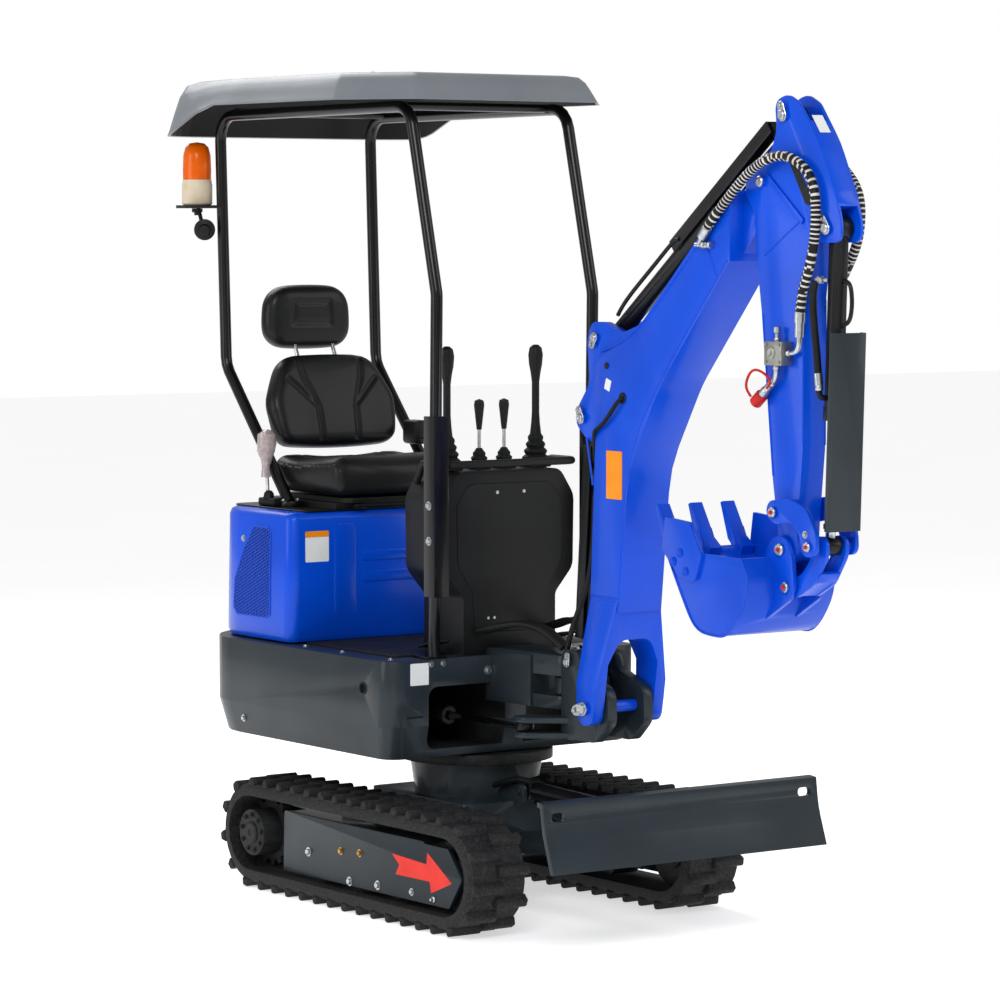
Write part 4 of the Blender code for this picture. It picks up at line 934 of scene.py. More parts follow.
@dataclass
class Seat:
    """The vinyl seat: cushion, back and headrest, with its slide, belt and side lever."""

    middle_x: float = -0.0175
    back_x: float = -0.01
    rest_x: float = -0.033
    voxel: float = 0.006
    lean: float = math.atan2(0.09, 0.305)

    def stuffed(self, name: str, shape: bmesh.types.BMesh, crown: float, passes: int = 14) -> bpy.types.Object:
        """Rounds and crowns a pad's form, as taut vinyl over moulded foam.

        Args:
            name: The pad's name.
            shape: The pad's form before it is crowned.
            crown: How far the middle of each side stands out, in metres.
            passes: How many times its edges are eased.

        Returns:
            The padded object, its mesh ready for its seams.
        """
        mesh = bpy.data.meshes.new(name)
        bmesh.ops.recalc_face_normals(shape, faces=shape.faces)
        shape.to_mesh(mesh)
        shape.free()
        obj = bpy.data.objects.new(name, mesh)
        bpy.context.scene.collection.objects.link(obj)
        remesh = obj.modifiers.new("even_faces", "REMESH")
        remesh.mode = "VOXEL"
        remesh.voxel_size = self.voxel
        self.apply(obj)
        pad = bmesh.new()
        pad.from_mesh(obj.data)
        for _ in range(passes):
            bmesh.ops.smooth_vert(pad, verts=pad.verts, factor=0.5, use_axis_x=True, use_axis_y=True, use_axis_z=True)
        pad.normal_update()
        places = [vert.co for vert in pad.verts]
        low = [min(place[i] for place in places) for i in range(3)]
        high = [max(place[i] for place in places) for i in range(3)]
        for vert in pad.verts:
            share = [math.cos(0.5 * math.pi * abs(2 * (vert.co[i] - low[i]) / (high[i] - low[i]) - 1)) for i in range(3)]
            bulge = sum(abs(vert.normal[i]) * share[i - 1] * share[i - 2] for i in range(3))
            vert.co += vert.normal * crown * bulge
        pad.to_mesh(obj.data)
        pad.free()
        return obj

    @staticmethod
    def apply(obj: bpy.types.Object) -> None:
        """Makes an object's modified form its own mesh."""
        graph = bpy.context.evaluated_depsgraph_get()
        final = bpy.data.meshes.new_from_object(obj.evaluated_get(graph))
        obj.modifiers.clear()
        obj.data = final

    @staticmethod
    def sew(obj: bpy.types.Object, lines: Sequence[Sequence[Sequence[float]]], axes: tuple[int, int], facing: Vector, depth: float, width: float) -> None:
        """Sinks channels into one side of a pad.

        Args:
            obj: The pad.
            lines: Polylines in the plane of the two axes.
            axes: The indices of those axes.
            facing: The side that takes the channels.
            depth: How deep a channel is.
            width: Its half width.
        """
        mesh = obj.data
        for vert in mesh.vertices:
            turned = vert.normal.dot(facing)
            if turned < 0.25:
                continue
            spot = Vector((vert.co[axes[0]], vert.co[axes[1]]))
            best = 1.0
            for line in lines:
                for a, b in zip(line, line[1:]):
                    start, run = Vector(a), Vector(b) - Vector(a)
                    share = min(1.0, max(0.0, (spot - start).dot(run) / run.length_squared))
                    best = min(best, (spot - start - run * share).length)
            vert.co -= facing * depth * math.exp(-((best / width) ** 2)) * min(1.0, turned * 1.6)

    def finish_pad(self, obj: bpy.types.Object, node: str) -> None:
        """Places, covers and attaches a pad."""
        obj.data.transform(Matrix.Translation((0, AXIS_Y, 0)))
        obj.data.materials.append(SEAT_VINYL.material())
        obj.data.shade_smooth()
        extra = obj.modifiers.new("fine", "SUBSURF")
        extra.levels = extra.render_levels = 1
        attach(obj, Body.UPPER.value)
        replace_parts(obj, node)
        LOG.info("%s padded", obj.name)

    def build_cushion(self) -> None:
        """The seat cushion: a front roll, side bolsters and a dished middle."""
        side = rounded([(0.333, 1.113, 0.025), (0.692, 1.113, 0.02), (0.692, 1.216, 0.02), (0.58, 1.208), (0.342, 1.228, 0.045)])
        shape = soften(prism(side, Axis.X, self.middle_x - 0.220, self.middle_x + 0.220), 0.020, 3, 50)
        obj = self.stuffed("cushion_cover", shape, 0.008)
        for vert in obj.data.vertices:
            if vert.normal.z > 0.3:
                off = (vert.co.x - self.middle_x) / 0.22
                vert.co.z -= 0.010 * max(0.0, 1 - (off / 0.62) ** 2) * min(1.0, (vert.co.y - 0.33) / 0.1)
                vert.co.z -= 0.012 * max(0.0, abs(off) - 0.85) / 0.15
        m = self.middle_x
        self.sew(obj, [[(m - 0.145, 0.42), (m - 0.135, 0.70)], [(m + 0.145, 0.42), (m + 0.135, 0.70)], [(m - 0.145, 0.42), (m, 0.408), (m + 0.145, 0.42)]], (0, 1), Vector((0, 0, 1)), 0.0045, 0.0055)
        self.finish_pad(obj, "seat_cushion")

    def build_back(self) -> None:
        """The seat back, leaning, with its two sewn channels that open towards the top."""
        m = self.back_x
        plan = rounded([(m - 0.198, 1.238, 0.04), (m + 0.198, 1.238, 0.04), (m + 0.209, 1.37, 0.08), (m + 0.150, 1.500, 0.07), (m - 0.150, 1.500, 0.07), (m - 0.209, 1.37, 0.08)])
        shape = soften(prism(plan, Axis.Y, -0.037, 0.037), 0.020, 3, 50)
        obj = self.stuffed("back_cover", shape, 0.009)
        for vert in obj.data.vertices:
            off = (vert.co.x - m) / 0.21
            vert.co.y -= 0.022 * max(0.0, abs(off) - 0.45) ** 1.5 - 0.004
        lines = []
        for s in (-1, 1):
            lines.append([(m + s * 0.062, 1.25), (m + s * 0.066, 1.345), (m + s * 0.125, 1.405), (m + s * 0.150, 1.43)])
            lines.append([(m + s * 0.066, 1.345), (m + s * 0.098, 1.43), (m + s * 0.112, 1.50)])
        self.sew(obj, lines, (0, 2), Vector((0, -1, 0)), 0.006, 0.006)
        low = Vector((0, 0.70, 1.232))
        obj.data.transform(Matrix.Translation(low) @ Matrix.Rotation(-self.lean, 4, "X") @ Matrix.Translation((0, 0, -low.z)))
        self.finish_pad(obj, "seat_back")

    def build_headrest(self) -> None:
        """The headrest with its sunk oblong panel, on two plated posts."""
        m = self.rest_x
        plan = rounded([(m - 0.144, 1.520, 0.055), (m + 0.144, 1.520, 0.055), (m + 0.134, 1.696, 0.06), (m - 0.134, 1.696, 0.06)])
        shape = soften(prism(plan, Axis.Y, 0.796, 0.864), 0.020, 3, 50)
        obj = self.stuffed("headrest_cover", shape, 0.007, 18)
        self.sew(obj, [[(m - 0.065, 1.59), (m + 0.065, 1.59), (m + 0.06, 1.65), (m - 0.06, 1.65), (m - 0.065, 1.59)]], (0, 2), Vector((0, -1, 0)), 0.005, 0.007)
        for vert in obj.data.vertices:
            if vert.normal.y < -0.4 and abs(vert.co.x - m) < 0.055 and abs(vert.co.z - 1.615) < 0.025:
                vert.co.y += 0.002
        self.finish_pad(obj, "headrest")
        posts = [tube([(x, 0.779, 1.47), (x, 0.8225, 1.56)], 0.0062, 12, 0.02) for x in (-0.085, 0.045)]
        piece("headrest_posts", gather(posts), Body.UPPER, [HARD_CHROME])

    def build_fittings(self) -> None:
        """The slide, the belt's buckle and reel, and the lever at the driver's right."""
        rails = [soften(block((x - 0.016, x + 0.016), (0.345, 0.72), (1.0748, 1.088)), 0.002) for x in (-0.155, 0.115)]
        rails.append(tube([(-0.17, 0.335, 1.084), (-0.10, 0.318, 1.084), (0.06, 0.318, 1.084), (0.13, 0.335, 1.084)], 0.005, 10))
        piece("seat_slide", gather(rails), Body.UPPER, [RAM_ENAMEL], Slot.BLACK)
        reel = soften(block((0.196, 0.246), (0.585, 0.665), (1.235, 1.305), 0.0), 0.012, 3)
        strap = sweep(curve_through([(0.215, 0.60, 1.262), (0.205, 0.56, 1.250), (0.18, 0.51, 1.248)], 0.008), 0.012, 10)
        bmesh.ops.scale(strap, verts=strap.verts, vec=(1, 1, 0.25), space=Matrix.Translation((0, 0, -1.25)))
        piece("belt_reel", gather([reel, strap]), Body.UPPER, [BLACK_ABS], Slot.PLASTIC)
        tongue = soften(prism(rounded([(0.165, 0.468, 0.006), (0.20, 0.468, 0.006), (0.194, 0.515, 0.004), (0.171, 0.515, 0.004)]), Axis.Z, 1.2465, 1.2495), 0.0008, 1)
        piece("belt_tongue", tongue, Body.UPPER, [HARD_CHROME])
        lever = tube([(-0.306, 0.60, 1.085), (-0.303, 0.61, 1.13), (-0.300, 0.62, 1.19), (-0.300, 0.623, 1.215)], 0.005, 12)
        piece("side_lever", lever, Body.UPPER, [BRIGHT_ZINC])
        knob = lathe([(0, 0), (0.012, 0.002), (0.017, 0.020), (0.021, 0.045), (0.018, 0.066), (0.008, 0.078), (0, 0.08)], (-0.300, 0.623, 1.205), (0.05, 0.05, 1), 20)
        piece("side_lever_knob", knob, Body.UPPER, [RED_RUBBER])
        wrap = lathe([(0.013, -0.05), (0.010, -0.02), (0.016, 0.0), (0.024, 0.025), (0.027, 0.048), (0.023, 0.072), (0.012, 0.084), (0.0, 0.087)], (-0.300, 0.623, 1.205), (0.05, 0.05, 1), 22)
        for index, vert in enumerate(wrap.verts):
            vert.co += vert.normal * 0.0022 * math.sin(index * 2.7)
        bmesh.ops.solidify(wrap, geom=wrap.faces[:], thickness=-0.0006)
        piece("knob_wrap", wrap, Body.UPPER, [CLEAR_FILM])
        base = [soften(block((-0.318, -0.272), (0.555, 0.64), (1.0748, 1.098)), 0.006, 3), lathe([(0, 0), (0.016, 0), (0.014, 0.016), (0.007, 0.024), (0, 0.024)], (-0.306, 0.60, 1.095), (0.1, 0, 1), 18)]
        piece("side_lever_base", gather(base), Body.UPPER, [BLACK_ABS], Slot.PLASTIC)

    def build(self) -> None:
        """Builds the whole seat."""
        dressed("seat_base", [BLACK_ABS], Slot.PLASTIC, 0.003)
        self.build_cushion()
        self.build_back()
        self.build_headrest()
        self.build_fittings()


@dataclass
class ControlTower:
    """The black console, its screws, and the four levers in their bellows."""

    top_z: float = 1.2053
    lever_y: float = -0.075

    def bellows(self, x: float, radius: float, rings: int, rise: float) -> list[tuple[float, float]]:
        """The stepped profile of a boot that narrows ring by ring."""
        profile = [(0.0, 0.0), (radius, 0.0)]
        for ring in range(rings):
            outer = radius * (1 - 0.62 * ring / rings)
            base = ring * rise
            profile += [(outer, base + rise * 0.18), (outer * 0.98, base + rise * 0.42), (outer * 0.74, base + rise * 0.78)]
        profile.append((radius * 0.24, rings * rise + rise * 0.4))
        profile.append((0.0, rings * rise + rise * 0.4))
        return profile

    def build_levers(self) -> None:
        """Builds the long outer joysticks and the short travel levers."""
        for side, hand in (("right", -1), ("left", 1)):
            spot = (hand * 0.15, self.lever_y, self.top_z)
            boot = lathe(self.bellows(spot[0], 0.0435, 5, 0.019), spot, steps=32)
            grip = lathe([(0.0, 0.09), (0.016, 0.09), (0.0125, 0.12), (0.0105, 0.15), (0.0105, 0.235), (0.014, 0.262), (0.0185, 0.285), (0.0205, 0.312), (0.017, 0.331), (0.008, 0.339), (0.0, 0.34)], spot, steps=28)
            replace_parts(piece("joystick_boot_" + side, boot, Body.UPPER, [BOOT_RUBBER], Slot.PLASTIC, 28), "joystick_" + side)
            piece("joystick_grip_" + side, grip, Body.UPPER, [BLACK_ABS], Slot.PLASTIC)
            spot = (hand * 0.042, self.lever_y, self.top_z)
            boot = lathe(self.bellows(spot[0], 0.0335, 4, 0.013), spot, steps=28)
            knob = lathe([(0.0, 0.108), (0.007, 0.108), (0.0095, 0.13), (0.0125, 0.158), (0.0145, 0.176), (0.0125, 0.188), (0.0, 0.193)], spot, steps=24)
            stem = lathe([(0.0, 0.05), (0.0048, 0.05), (0.0048, 0.112), (0.0, 0.112)], spot, steps=16)
            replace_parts(piece("travel_boot_" + side, boot, Body.UPPER, [BOOT_RUBBER], Slot.PLASTIC, 28), "travel_lever_" + side)
            piece("travel_knob_" + side, knob, Body.UPPER, [BLACK_ABS], Slot.PLASTIC)
            piece("travel_stem_" + side, stem, Body.UPPER, [BRIGHT_ZINC])

    def build(self) -> None:
        """Dresses the tower and adds its screws, front panel and levers."""
        dressed("console", [BLACK_ABS], Slot.PLASTIC, 0.006)
        face = rounded([(-0.115, 0.76, 0.01), (0.115, 0.76, 0.01), (0.125, 0.875, 0.03), (0.175, 0.945, 0.05), (0.178, 1.11, 0.05), (0.14, 1.17, 0.04), (-0.14, 1.17, 0.04), (-0.178, 1.11, 0.05), (-0.175, 0.945, 0.05), (-0.125, 0.875, 0.03)])
        piece("console_front_panel", soften(prism(face, Axis.Y, -0.1655, -0.150), 0.003, 3, 60), Body.UPPER, [BLACK_ABS], Slot.PLASTIC, 40)
        screws = [lathe([(0, 0), (0.0055, 0), (0.0048, 0.0018), (0.002, 0.0022), (0, 0.0015)], (x, -0.1655, 1.145), (0, -1, 0), 14) for x in (-0.045, 0.045)]
        screws += [lathe([(0, 0), (0.0045, 0), (0.004, 0.0015), (0, 0.0015)], (x, -0.1655, 0.80), (0, -1, 0), 12) for x in (-0.075, -0.055)]
        piece("console_screws", gather(screws), Body.UPPER, [BRIGHT_ZINC])
        self.build_levers()


@dataclass
class Canopy:
    """The two post hoops, the grey roof and the flashing lamp."""

    post_x: float = 0.262
    lamp: tuple[float, float, float] = (-0.312, 0.978, 1.9353)

    def build_lamp(self) -> None:
        """Builds the amber lens on its cream base, with the bracket's nut and the horn."""
        x, y, z = self.lamp
        base = lathe([(0, 0), (0.040, 0), (0.0445, 0.004), (0.0445, 0.060), (0.0425, 0.066), (0.0425, 0.074), (0.0, 0.074)], (x, y, z), steps=36)
        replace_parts(piece("beacon_base", base, Body.UPPER, [CREAM_ABS], None), "beacon")
        profile = [(0, 0.0745), (0.041, 0.0745), (0.0415, 0.10), (0.040, 0.145), (0.034, 0.168), (0.022, 0.180), (0.0, 0.1835)]
        lens = lathe(profile, (x, y, z), steps=40)
        for vert in lens.verts:
            angle = math.atan2(vert.co.y - y, vert.co.x - x)
            off = Vector((vert.co.x - x, vert.co.y - y, 0))
            if vert.co.z - z < 0.15:
                vert.co -= off * 0.03 * (0.5 + 0.5 * math.cos(angle * 20))
        piece("beacon_lens", lens, Body.UPPER, [AMBER_ACRYLIC], Slot.AMBER, 50)
        nut = [lathe([(0, 0), (0.016, 0), (0.016, 0.010), (0.009, 0.013), (0.009, 0.02), (0, 0.02)], (x, y, z - 0.0098), (0, 0, -1), 18)]
        nut.append(lathe([(0, 0), (0.026, 0.0), (0.031, 0.010), (0.031, 0.016), (0.018, 0.020), (0.014, 0.034), (0, 0.036)], (x + 0.004, y - 0.035, 1.865), (-0.5, -0.8, -0.1), 26))
        nut.append(tube([(x, y - 0.005, 1.925), (x + 0.002, y - 0.018, 1.895), (x + 0.004, y - 0.02, 1.872)], 0.006, 10))
        piece("horn_and_bracket", gather(nut), Body.UPPER, [BLACK_ABS], Slot.PLASTIC)

    @staticmethod
    def rim_height(y: float) -> float:
        """The rim's height along the roof: level in front, dropping over the tail."""
        share = min(1.0, max(0.0, (y - 0.66) / 0.30))
        return 2.2155 - 0.082 * share * share * (3 - 2 * share)

    def build_roof(self) -> None:
        """Carries the roof's outline from the top's middle, over the edge and back inside."""
        plan = rounded([(-0.305, -0.155, 0.03), (0.305, -0.155, 0.03), (0.45, 0.03, 0.03), (0.45, 1.03, 0.16), (-0.45, 1.03, 0.16), (-0.45, 0.03, 0.03)])
        dense = [tuple(Vector(a).lerp(Vector(b), k / 8)) for a, b in zip(plan, plan[1:] + plan[:1]) for k in range(8)]
        rings = [(0.55, 0.56, 0.0), (0.84, 0.86, 0.03), (0.90, 0.92, 0.10), (0.935, 0.95, 0.30), (0.965, 0.975, 0.62), (0.99, 0.992, 0.90), (0.999, 0.999, 0.975), (1.0, 1.0, 1.0), (0.985, 0.987, 0.985), (0.955, 0.965, 0.60), (0.925, 0.94, 0.36), (0.88, 0.90, 0.22), (0.55, 0.56, 0.16)]
        shape = bmesh.new()
        top = 2.2945
        first = rim = None
        for index, (wide, long, drop) in enumerate(rings):
            if rim is None:
                points = [shape.verts.new((x * wide, 0.45 + (y - 0.45) * long, top)) for x, y in dense]
                rim = [shape.edges.new(pair) for pair in zip(points, points[1:] + points[:1])]
                first = rim
                bmesh.ops.contextual_create(shape, geom=first)
                order = points
                continue
            grown = bmesh.ops.extrude_edge_only(shape, edges=rim)["geom"]
            fresh = {item for item in grown if isinstance(item, bmesh.types.BMVert)}
            rim = [i for i in grown if isinstance(i, bmesh.types.BMEdge) and all(v in fresh for v in i.verts)]
            ahead = [next(e.other_vert(v) for e in v.link_edges if e.other_vert(v) in fresh) for v in order]
            for vert, (x, y) in zip(ahead, dense):
                vert.co = (x * wide, 0.45 + (y - 0.45) * long, top - (top - self.rim_height(y)) * drop)
            if index > 8:
                for face in {face for edge in rim for face in edge.link_faces}:
                    face.material_index = 1
            order = ahead
        floor = bmesh.ops.contextual_create(shape, geom=rim)["faces"]
        for face in floor:
            face.material_index = 1
        # The roof's grey is lightened as a painted highlight.
        roof = piece("roof_shell", shape, Body.UPPER, [ROOF_GREY_WITH_PAINTED_HIGHLIGHT, BLACK_ABS], Slot.ROOF, 50)
        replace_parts(roof, "canopy_roof")

    def build(self) -> None:
        """Dresses the posts and roof, and adds their fastenings and the roof's ribs."""
        dressed("canopy_frame", [BLACK_ENAMEL], Slot.BLACK, 0.0012)
        self.build_roof()
        self.build_lamp()
        bolts = []
        for side in (-1, 1):
            bolts += [hex_bolt((side * 0.286, -0.187, z), (side, 0, 0), 0.007) for z in (1.118, 1.022)]
            bolts += [hex_bolt((side * self.post_x + dx, 0.552 + dy, 1.0905), (0, 0, 1), 0.005) for dx, dy in ((0.024, 0), (-0.024, 0))]
            bolts += [hex_bolt((side * self.post_x, y, 2.293), (0, 0, 1), 0.005) for y in (0.12, 0.74)]
        piece("canopy_bolts", gather(bolts), Body.UPPER, [BRIGHT_ZINC])
        crown = rounded([(-0.20, 0.02, 0.05), (0.20, 0.02, 0.05), (0.26, 0.16, 0.05), (0.26, 0.78, 0.08), (-0.26, 0.78, 0.08), (-0.26, 0.16, 0.05)])
        under = [soften(prism(crown, Axis.Z, 2.262, 2.276), 0.005, 2, 40)]
        under += [soften(block((x - 0.012, x + 0.012), (0.06, 0.80), (2.250, 2.268)), 0.004) for x in (-0.15, 0.0, 0.15)]
        piece("roof_lining", gather(under), Body.UPPER, [BLACK_ABS], Slot.PLASTIC)


# ---- working gear ---------------------------------------------------------------------


@dataclass
class WorkingGear:
    """The swing bracket, boom, arm, linkage and bucket, with their pins and welds."""

    foot: tuple[float, float] = (-0.667, 0.601)
    boom_ram: tuple[tuple[float, float], tuple[float, float]] = ((-0.542, 0.711), (-0.590, 1.366))
    arm_ram: tuple[tuple[float, float], tuple[float, float]] = ((-0.647, 1.580), (-1.390, 2.149))
    bucket_ram: tuple[tuple[float, float], tuple[float, float]] = ((-1.558, 1.869), (-1.530, 1.084))
    rocker_pin: tuple[float, float] = (-1.394, 1.162)
    bucket_pin: tuple[float, float] = (-1.403, 1.069)
    link_pin: tuple[float, float] = (-1.424, 0.976)
    boom_x: float = 0.0705
    arm_x: float = 0.036

    @staticmethod
    def between(low: tuple[float, float], high: tuple[float, float]) -> tuple[tuple[float, ...], tuple[float, ...]]:
        """Puts two side-view points on the machine's middle plane."""
        return (0.0, *low), (0.0, *high)

    def build_rams(self) -> None:
        """Dresses every ram with its plated rod and its guard."""
        dress_ram("boom_ram", *self.between(*self.boom_ram), 0.0125, HARD_CHROME)
        dress_ram("arm_ram", *self.between(*self.arm_ram), 0.0125, HARD_CHROME)
        dress_ram("bucket_ram", *self.between(*self.bucket_ram), 0.0125, HARD_CHROME, SLATE_ENAMEL)
        dress_ram("swing_ram", (-0.200, 0.250, 0.5325), (-0.140, -0.430, 0.5325), 0.0115, HARD_CHROME)

    def build_boom(self) -> None:
        """Dresses the boom and adds its welds, pins, labels and hose loop."""
        dressed("swing_bracket", [SLATE_ENAMEL], Slot.SLATE, 0.002)
        dressed("boom", [BLUE_ENAMEL], Slot.BLUE, 0.0022)
        beads = []
        for s in (-1, 1):
            x = s * (self.boom_x - 0.0004)
            beads.append(tube([(x, -0.636, 0.884), (x, -0.752, 0.884)], 0.0028, 6, 0.02))
            beads.append(tube([(x, -0.640, 1.19), (x, -0.612, 1.315)], 0.0028, 6, 0.02))
            beads.append(tube([(x, -1.105, 1.852), (x, -1.165, 1.742)], 0.0032, 6, 0.02))
            beads.append(tube([(x, -0.672, 1.545), (x, -0.845, 1.610), (x, -1.205, 1.945)], 0.0026, 6, 0.02))
            beads.append(tube([(x, -0.752, 0.90), (x, -0.790, 1.24), (x, -0.925, 1.472), (x, -1.205, 1.786)], 0.0026, 6, 0.02))
        piece("boom_welds", gather(beads), Body.BOOM, [BLUE_ENAMEL], Slot.BLUE)
        heads: list[bmesh.types.BMesh] = []
        for s in (-1, 1):
            heads += keeper((s * 0.073, *self.boom_ram[1]), s, 70, 0.012)
            heads += keeper((s * 0.072, *self.arm_ram[0]), s, -65, 0.011)
            heads += keeper((s * 0.124, *self.foot), s, -12, 0.015)
        piece("boom_pin_keepers", gather(heads), Body.BOOM, [BRIGHT_ZINC])
        post = [shape for s in (-1, 1) for shape in keeper((s * 0.082, *self.boom_ram[0]), s, 100, 0.010)]
        post.append(pin_head((0, -0.450, 0.735), (0, 0, 1), 0.021))
        piece("swing_pin_heads", gather(post[:-1]), Body.SWING_POST, [BRIGHT_ZINC])
        piece("swing_pin_cap", post[-1], Body.UPPER, [BRIGHT_ZINC])
        x = -self.boom_x
        warning = rounded([(-0.700, 1.158, 0.003), (-0.768, 1.158, 0.003), (-0.768, 1.285, 0.003), (-0.700, 1.285, 0.003)])
        piece("warning_plate", prism(warning, Axis.X, x - 0.0008, x + 0.002), Body.BOOM, [ORANGE_FILM])
        small = rounded([(-0.690, 1.448, 0.002), (-0.712, 1.440, 0.002), (-0.721, 1.468, 0.002), (-0.699, 1.476, 0.002)])
        piece("boom_small_label", prism(small, Axis.X, x - 0.0008, x + 0.002), Body.BOOM, [WHITE_FILM])
        rings, loops = [], []
        for s in (-1, 1):
            side = s * self.boom_x
            rings.append(lathe([(0, 0), (0.015, 0), (0.015, 0.0015), (0.011, 0.003), (0.0075, 0.001), (0, 0.001)], (side, -0.770, 1.425), (s, 0, 0), 22))
            rings.append(lathe([(0, 0), (0.009, 0), (0.009, 0.001), (0, 0.001)], (side, -0.700, 1.508), (s, 0, 0), 18))
            loops.append(tube([(side, -0.770, 1.425), (side + s * 0.012, -0.762, 1.415), (side + s * 0.014, -0.735, 1.385), (side + s * 0.010, -0.690, 1.350), (side + s * 0.007, -0.657, 1.335), (side - s * 0.004, -0.640, 1.30), (side - s * 0.012, -0.638, 1.24)], 0.0055, 10))
        piece("boom_grommets", gather(rings), Body.BOOM, [HOSE_RUBBER], Slot.PLASTIC)
        piece("boom_side_hoses", gather(loops), Body.BOOM, [HOSE_RUBBER])

    def build_arm(self) -> None:
        """Dresses the arm and adds its gussets, welds, pins and label."""
        dressed("arm", [BLUE_ENAMEL], Slot.BLUE, 0.0018)
        raised, beads, dark = [], [], []
        for s in (-1, 1):
            x = s * self.arm_x
            flat = [(-1.327, 2.006), (-1.335, 1.994), (-1.462, 1.878), (-1.470, 1.890)]
            raised.append(soften(prism(flat, Axis.X, *sorted((x, x + s * 0.007))), 0.0018, 2, 40))
            beads.append(tube([(x, -1.462, 1.892), (x, -1.312, 1.80)], 0.0026, 6, 0.02))
            beads.append(tube([(x, -1.4655, 1.33), (x, -1.4655, 1.69)], 0.0022, 6, 0.02))
            beads.append(tube([(x, -1.306, 1.655), (x, -1.350, 1.25)], 0.0022, 6, 0.02))
            slot = rounded([(-1.398, 2.048, 0.014), (-1.425, 2.040, 0.014), (-1.503, 1.938, 0.014), (-1.486, 1.922, 0.014), (-1.470, 1.930, 0.01)])
            dark.append(prism(slot, Axis.X, *sorted((x - s * 0.002, x + s * 0.0005))))
        piece("arm_gussets", gather(raised), Body.ARM, [BLUE_ENAMEL], Slot.BLUE)
        piece("arm_welds", gather(beads), Body.ARM, [BLUE_ENAMEL], Slot.BLUE)
        # Thin plates of the dark cast paint over the arm head's openings: painted shade for the dark inside of the arm.
        piece("arm_head_opening_shade", gather(dark), Body.ARM, [DARK_CAST_PAINT_AND_SHADE], Slot.HUB)
        heads: list[bmesh.types.BMesh] = []
        for s in (-1, 1):
            heads += keeper((s * 0.043, *self.arm_ram[1]), s, 75, 0.0125)
            heads += keeper((s * 0.043, *self.bucket_ram[0]), s, 62, 0.0125)
            heads.append(pin_head((s * 0.046, -1.305, 1.985), (s, 0, 0), 0.014))
        piece("arm_pin_keepers", gather(heads), Body.ARM, [BRIGHT_ZINC])
        label = soften(block((-0.017, 0.017), (-0.027, 0.027), (-0.0005, 0.0005)), 0.0002, 1)
        moved(label, Matrix.Translation((0, -1.487, 2.1255)) @ Matrix.Rotation(math.atan2(0.098, 0.075), 4, "X"))
        piece("arm_head_label", label, Body.ARM, [WHITE_FILM])

    def build_linkage(self) -> None:
        """Dresses the rockers, the push link and the bucket, with their pins and caps."""
        for side in ("right", "left"):
            dressed("rocker_" + side, [BLUE_ENAMEL], Slot.BLUE, 0.0015)
        dressed("bucket_link", [BLUE_ENAMEL], Slot.BLUE, 0.0012)
        dressed("bucket", [BLUE_ENAMEL], Slot.BLUE, 0.0015)
        heads, caps = [], []
        for s in (-1, 1):
            heads.append(pin_head((s * 0.074, *self.rocker_pin), (s, 0, 0), 0.0135))
            caps.append(lathe([(0, 0), (0.0055, 0), (0.0045, 0.005), (0.002, 0.0065), (0, 0.0065)], (s * 0.079, *self.rocker_pin), (s, 0, 0), 14))
        piece("rocker_pin_heads", gather(heads), Body.ARM, [BRIGHT_ZINC])
        piece("rocker_pin_caps", gather(caps), Body.ARM, [RED_RUBBER])
        low = self.bucket_ram[1]
        heads = [pin_head((s * 0.074, *low), (s, 0, 0), 0.0125) for s in (-1, 1)]
        heads += [hex_bolt((s * 0.070, low[0] + 0.012, low[1] + 0.030), (s, 0, 0), 0.0055) for s in (-1, 1)]
        piece("link_pin_heads", gather(heads), Body.ROCKER, [BRIGHT_ZINC])
        caps = [lathe([(0, 0), (0.005, 0), (0.0042, 0.005), (0, 0.0062)], (s * 0.079, *low), (s, 0, 0), 14) for s in (-1, 1)]
        piece("link_pin_caps", gather(caps), Body.ROCKER, [RED_RUBBER])
        heads = [pin_head((s * 0.0565, *spot), (s, 0, 0), radius) for s in (-1, 1) for spot, radius in ((self.bucket_pin, 0.0155), (self.link_pin, 0.0135))]
        piece("bucket_pin_heads", gather(heads), Body.BUCKET, [BRIGHT_ZINC])
        caps = [lathe([(0, 0), (0.0055, 0), (0.0045, 0.005), (0, 0.0065)], (s * 0.0625, *spot), (s, 0, 0), 14) for s in (-1, 1) for spot in (self.bucket_pin, self.link_pin)]
        piece("bucket_pin_caps", gather(caps), Body.BUCKET, [RED_RUBBER])
        rings = [
            lathe([(0.0, 0.0), (0.0115, 0), (0.0115, 0.003), (0.009, 0.0045), (0.0065, 0.003), (0.0055, 0.005), (0.0, 0.005)], (s * 0.150, y, z), (s, 0, 0), 20)
            for s in (-1, 1)
            for y, z in ((-1.090, 1.022), (-1.142, 1.000), (-1.118, 1.046))
        ]
        piece("side_cutter_bolts", gather(rings), Body.BUCKET, [BLUE_ENAMEL], Slot.BLUE)
        seams = [tube([(s * 0.1405, y, z) for y, z in ((-1.052, 1.040), (-1.120, 0.928), (-1.172, 0.858), (-1.240, 0.8455), (-1.305, 0.852), (-1.366, 0.930), (-1.380, 0.990))], 0.003, 6, 0.012) for s in (-1, 1)]
        seams += [tube([(s * 0.052, -1.350, 0.905), (s * 0.052, -1.372, 0.95), (s * 0.052, -1.377, 0.99)], 0.0035, 6, 0.012) for s in (-1, 1)]
        piece("bucket_welds", gather(seams), Body.BUCKET, [BLUE_ENAMEL], Slot.BLUE)
        lip = [hex_bolt((x, -1.083, 1.012), (0, 0.85, -0.5), 0.005) for x in (-0.06, 0.06)]
        piece("bucket_lip_bolts", gather(lip), Body.BUCKET, [BLUE_ENAMEL], Slot.BLUE)
        adapters = [
            soften(prism([(-1.062, 1.036), (-1.040, 1.030), (-1.014, 1.090), (-1.030, 1.100)], Axis.X, x - 0.0225, x + 0.0225), 0.003, 2, 30)
            for x in (-0.106, 0.0, 0.106)
        ]
        piece("tooth_adapters", gather(adapters), Body.BUCKET, [BLUE_ENAMEL], Slot.BLUE)

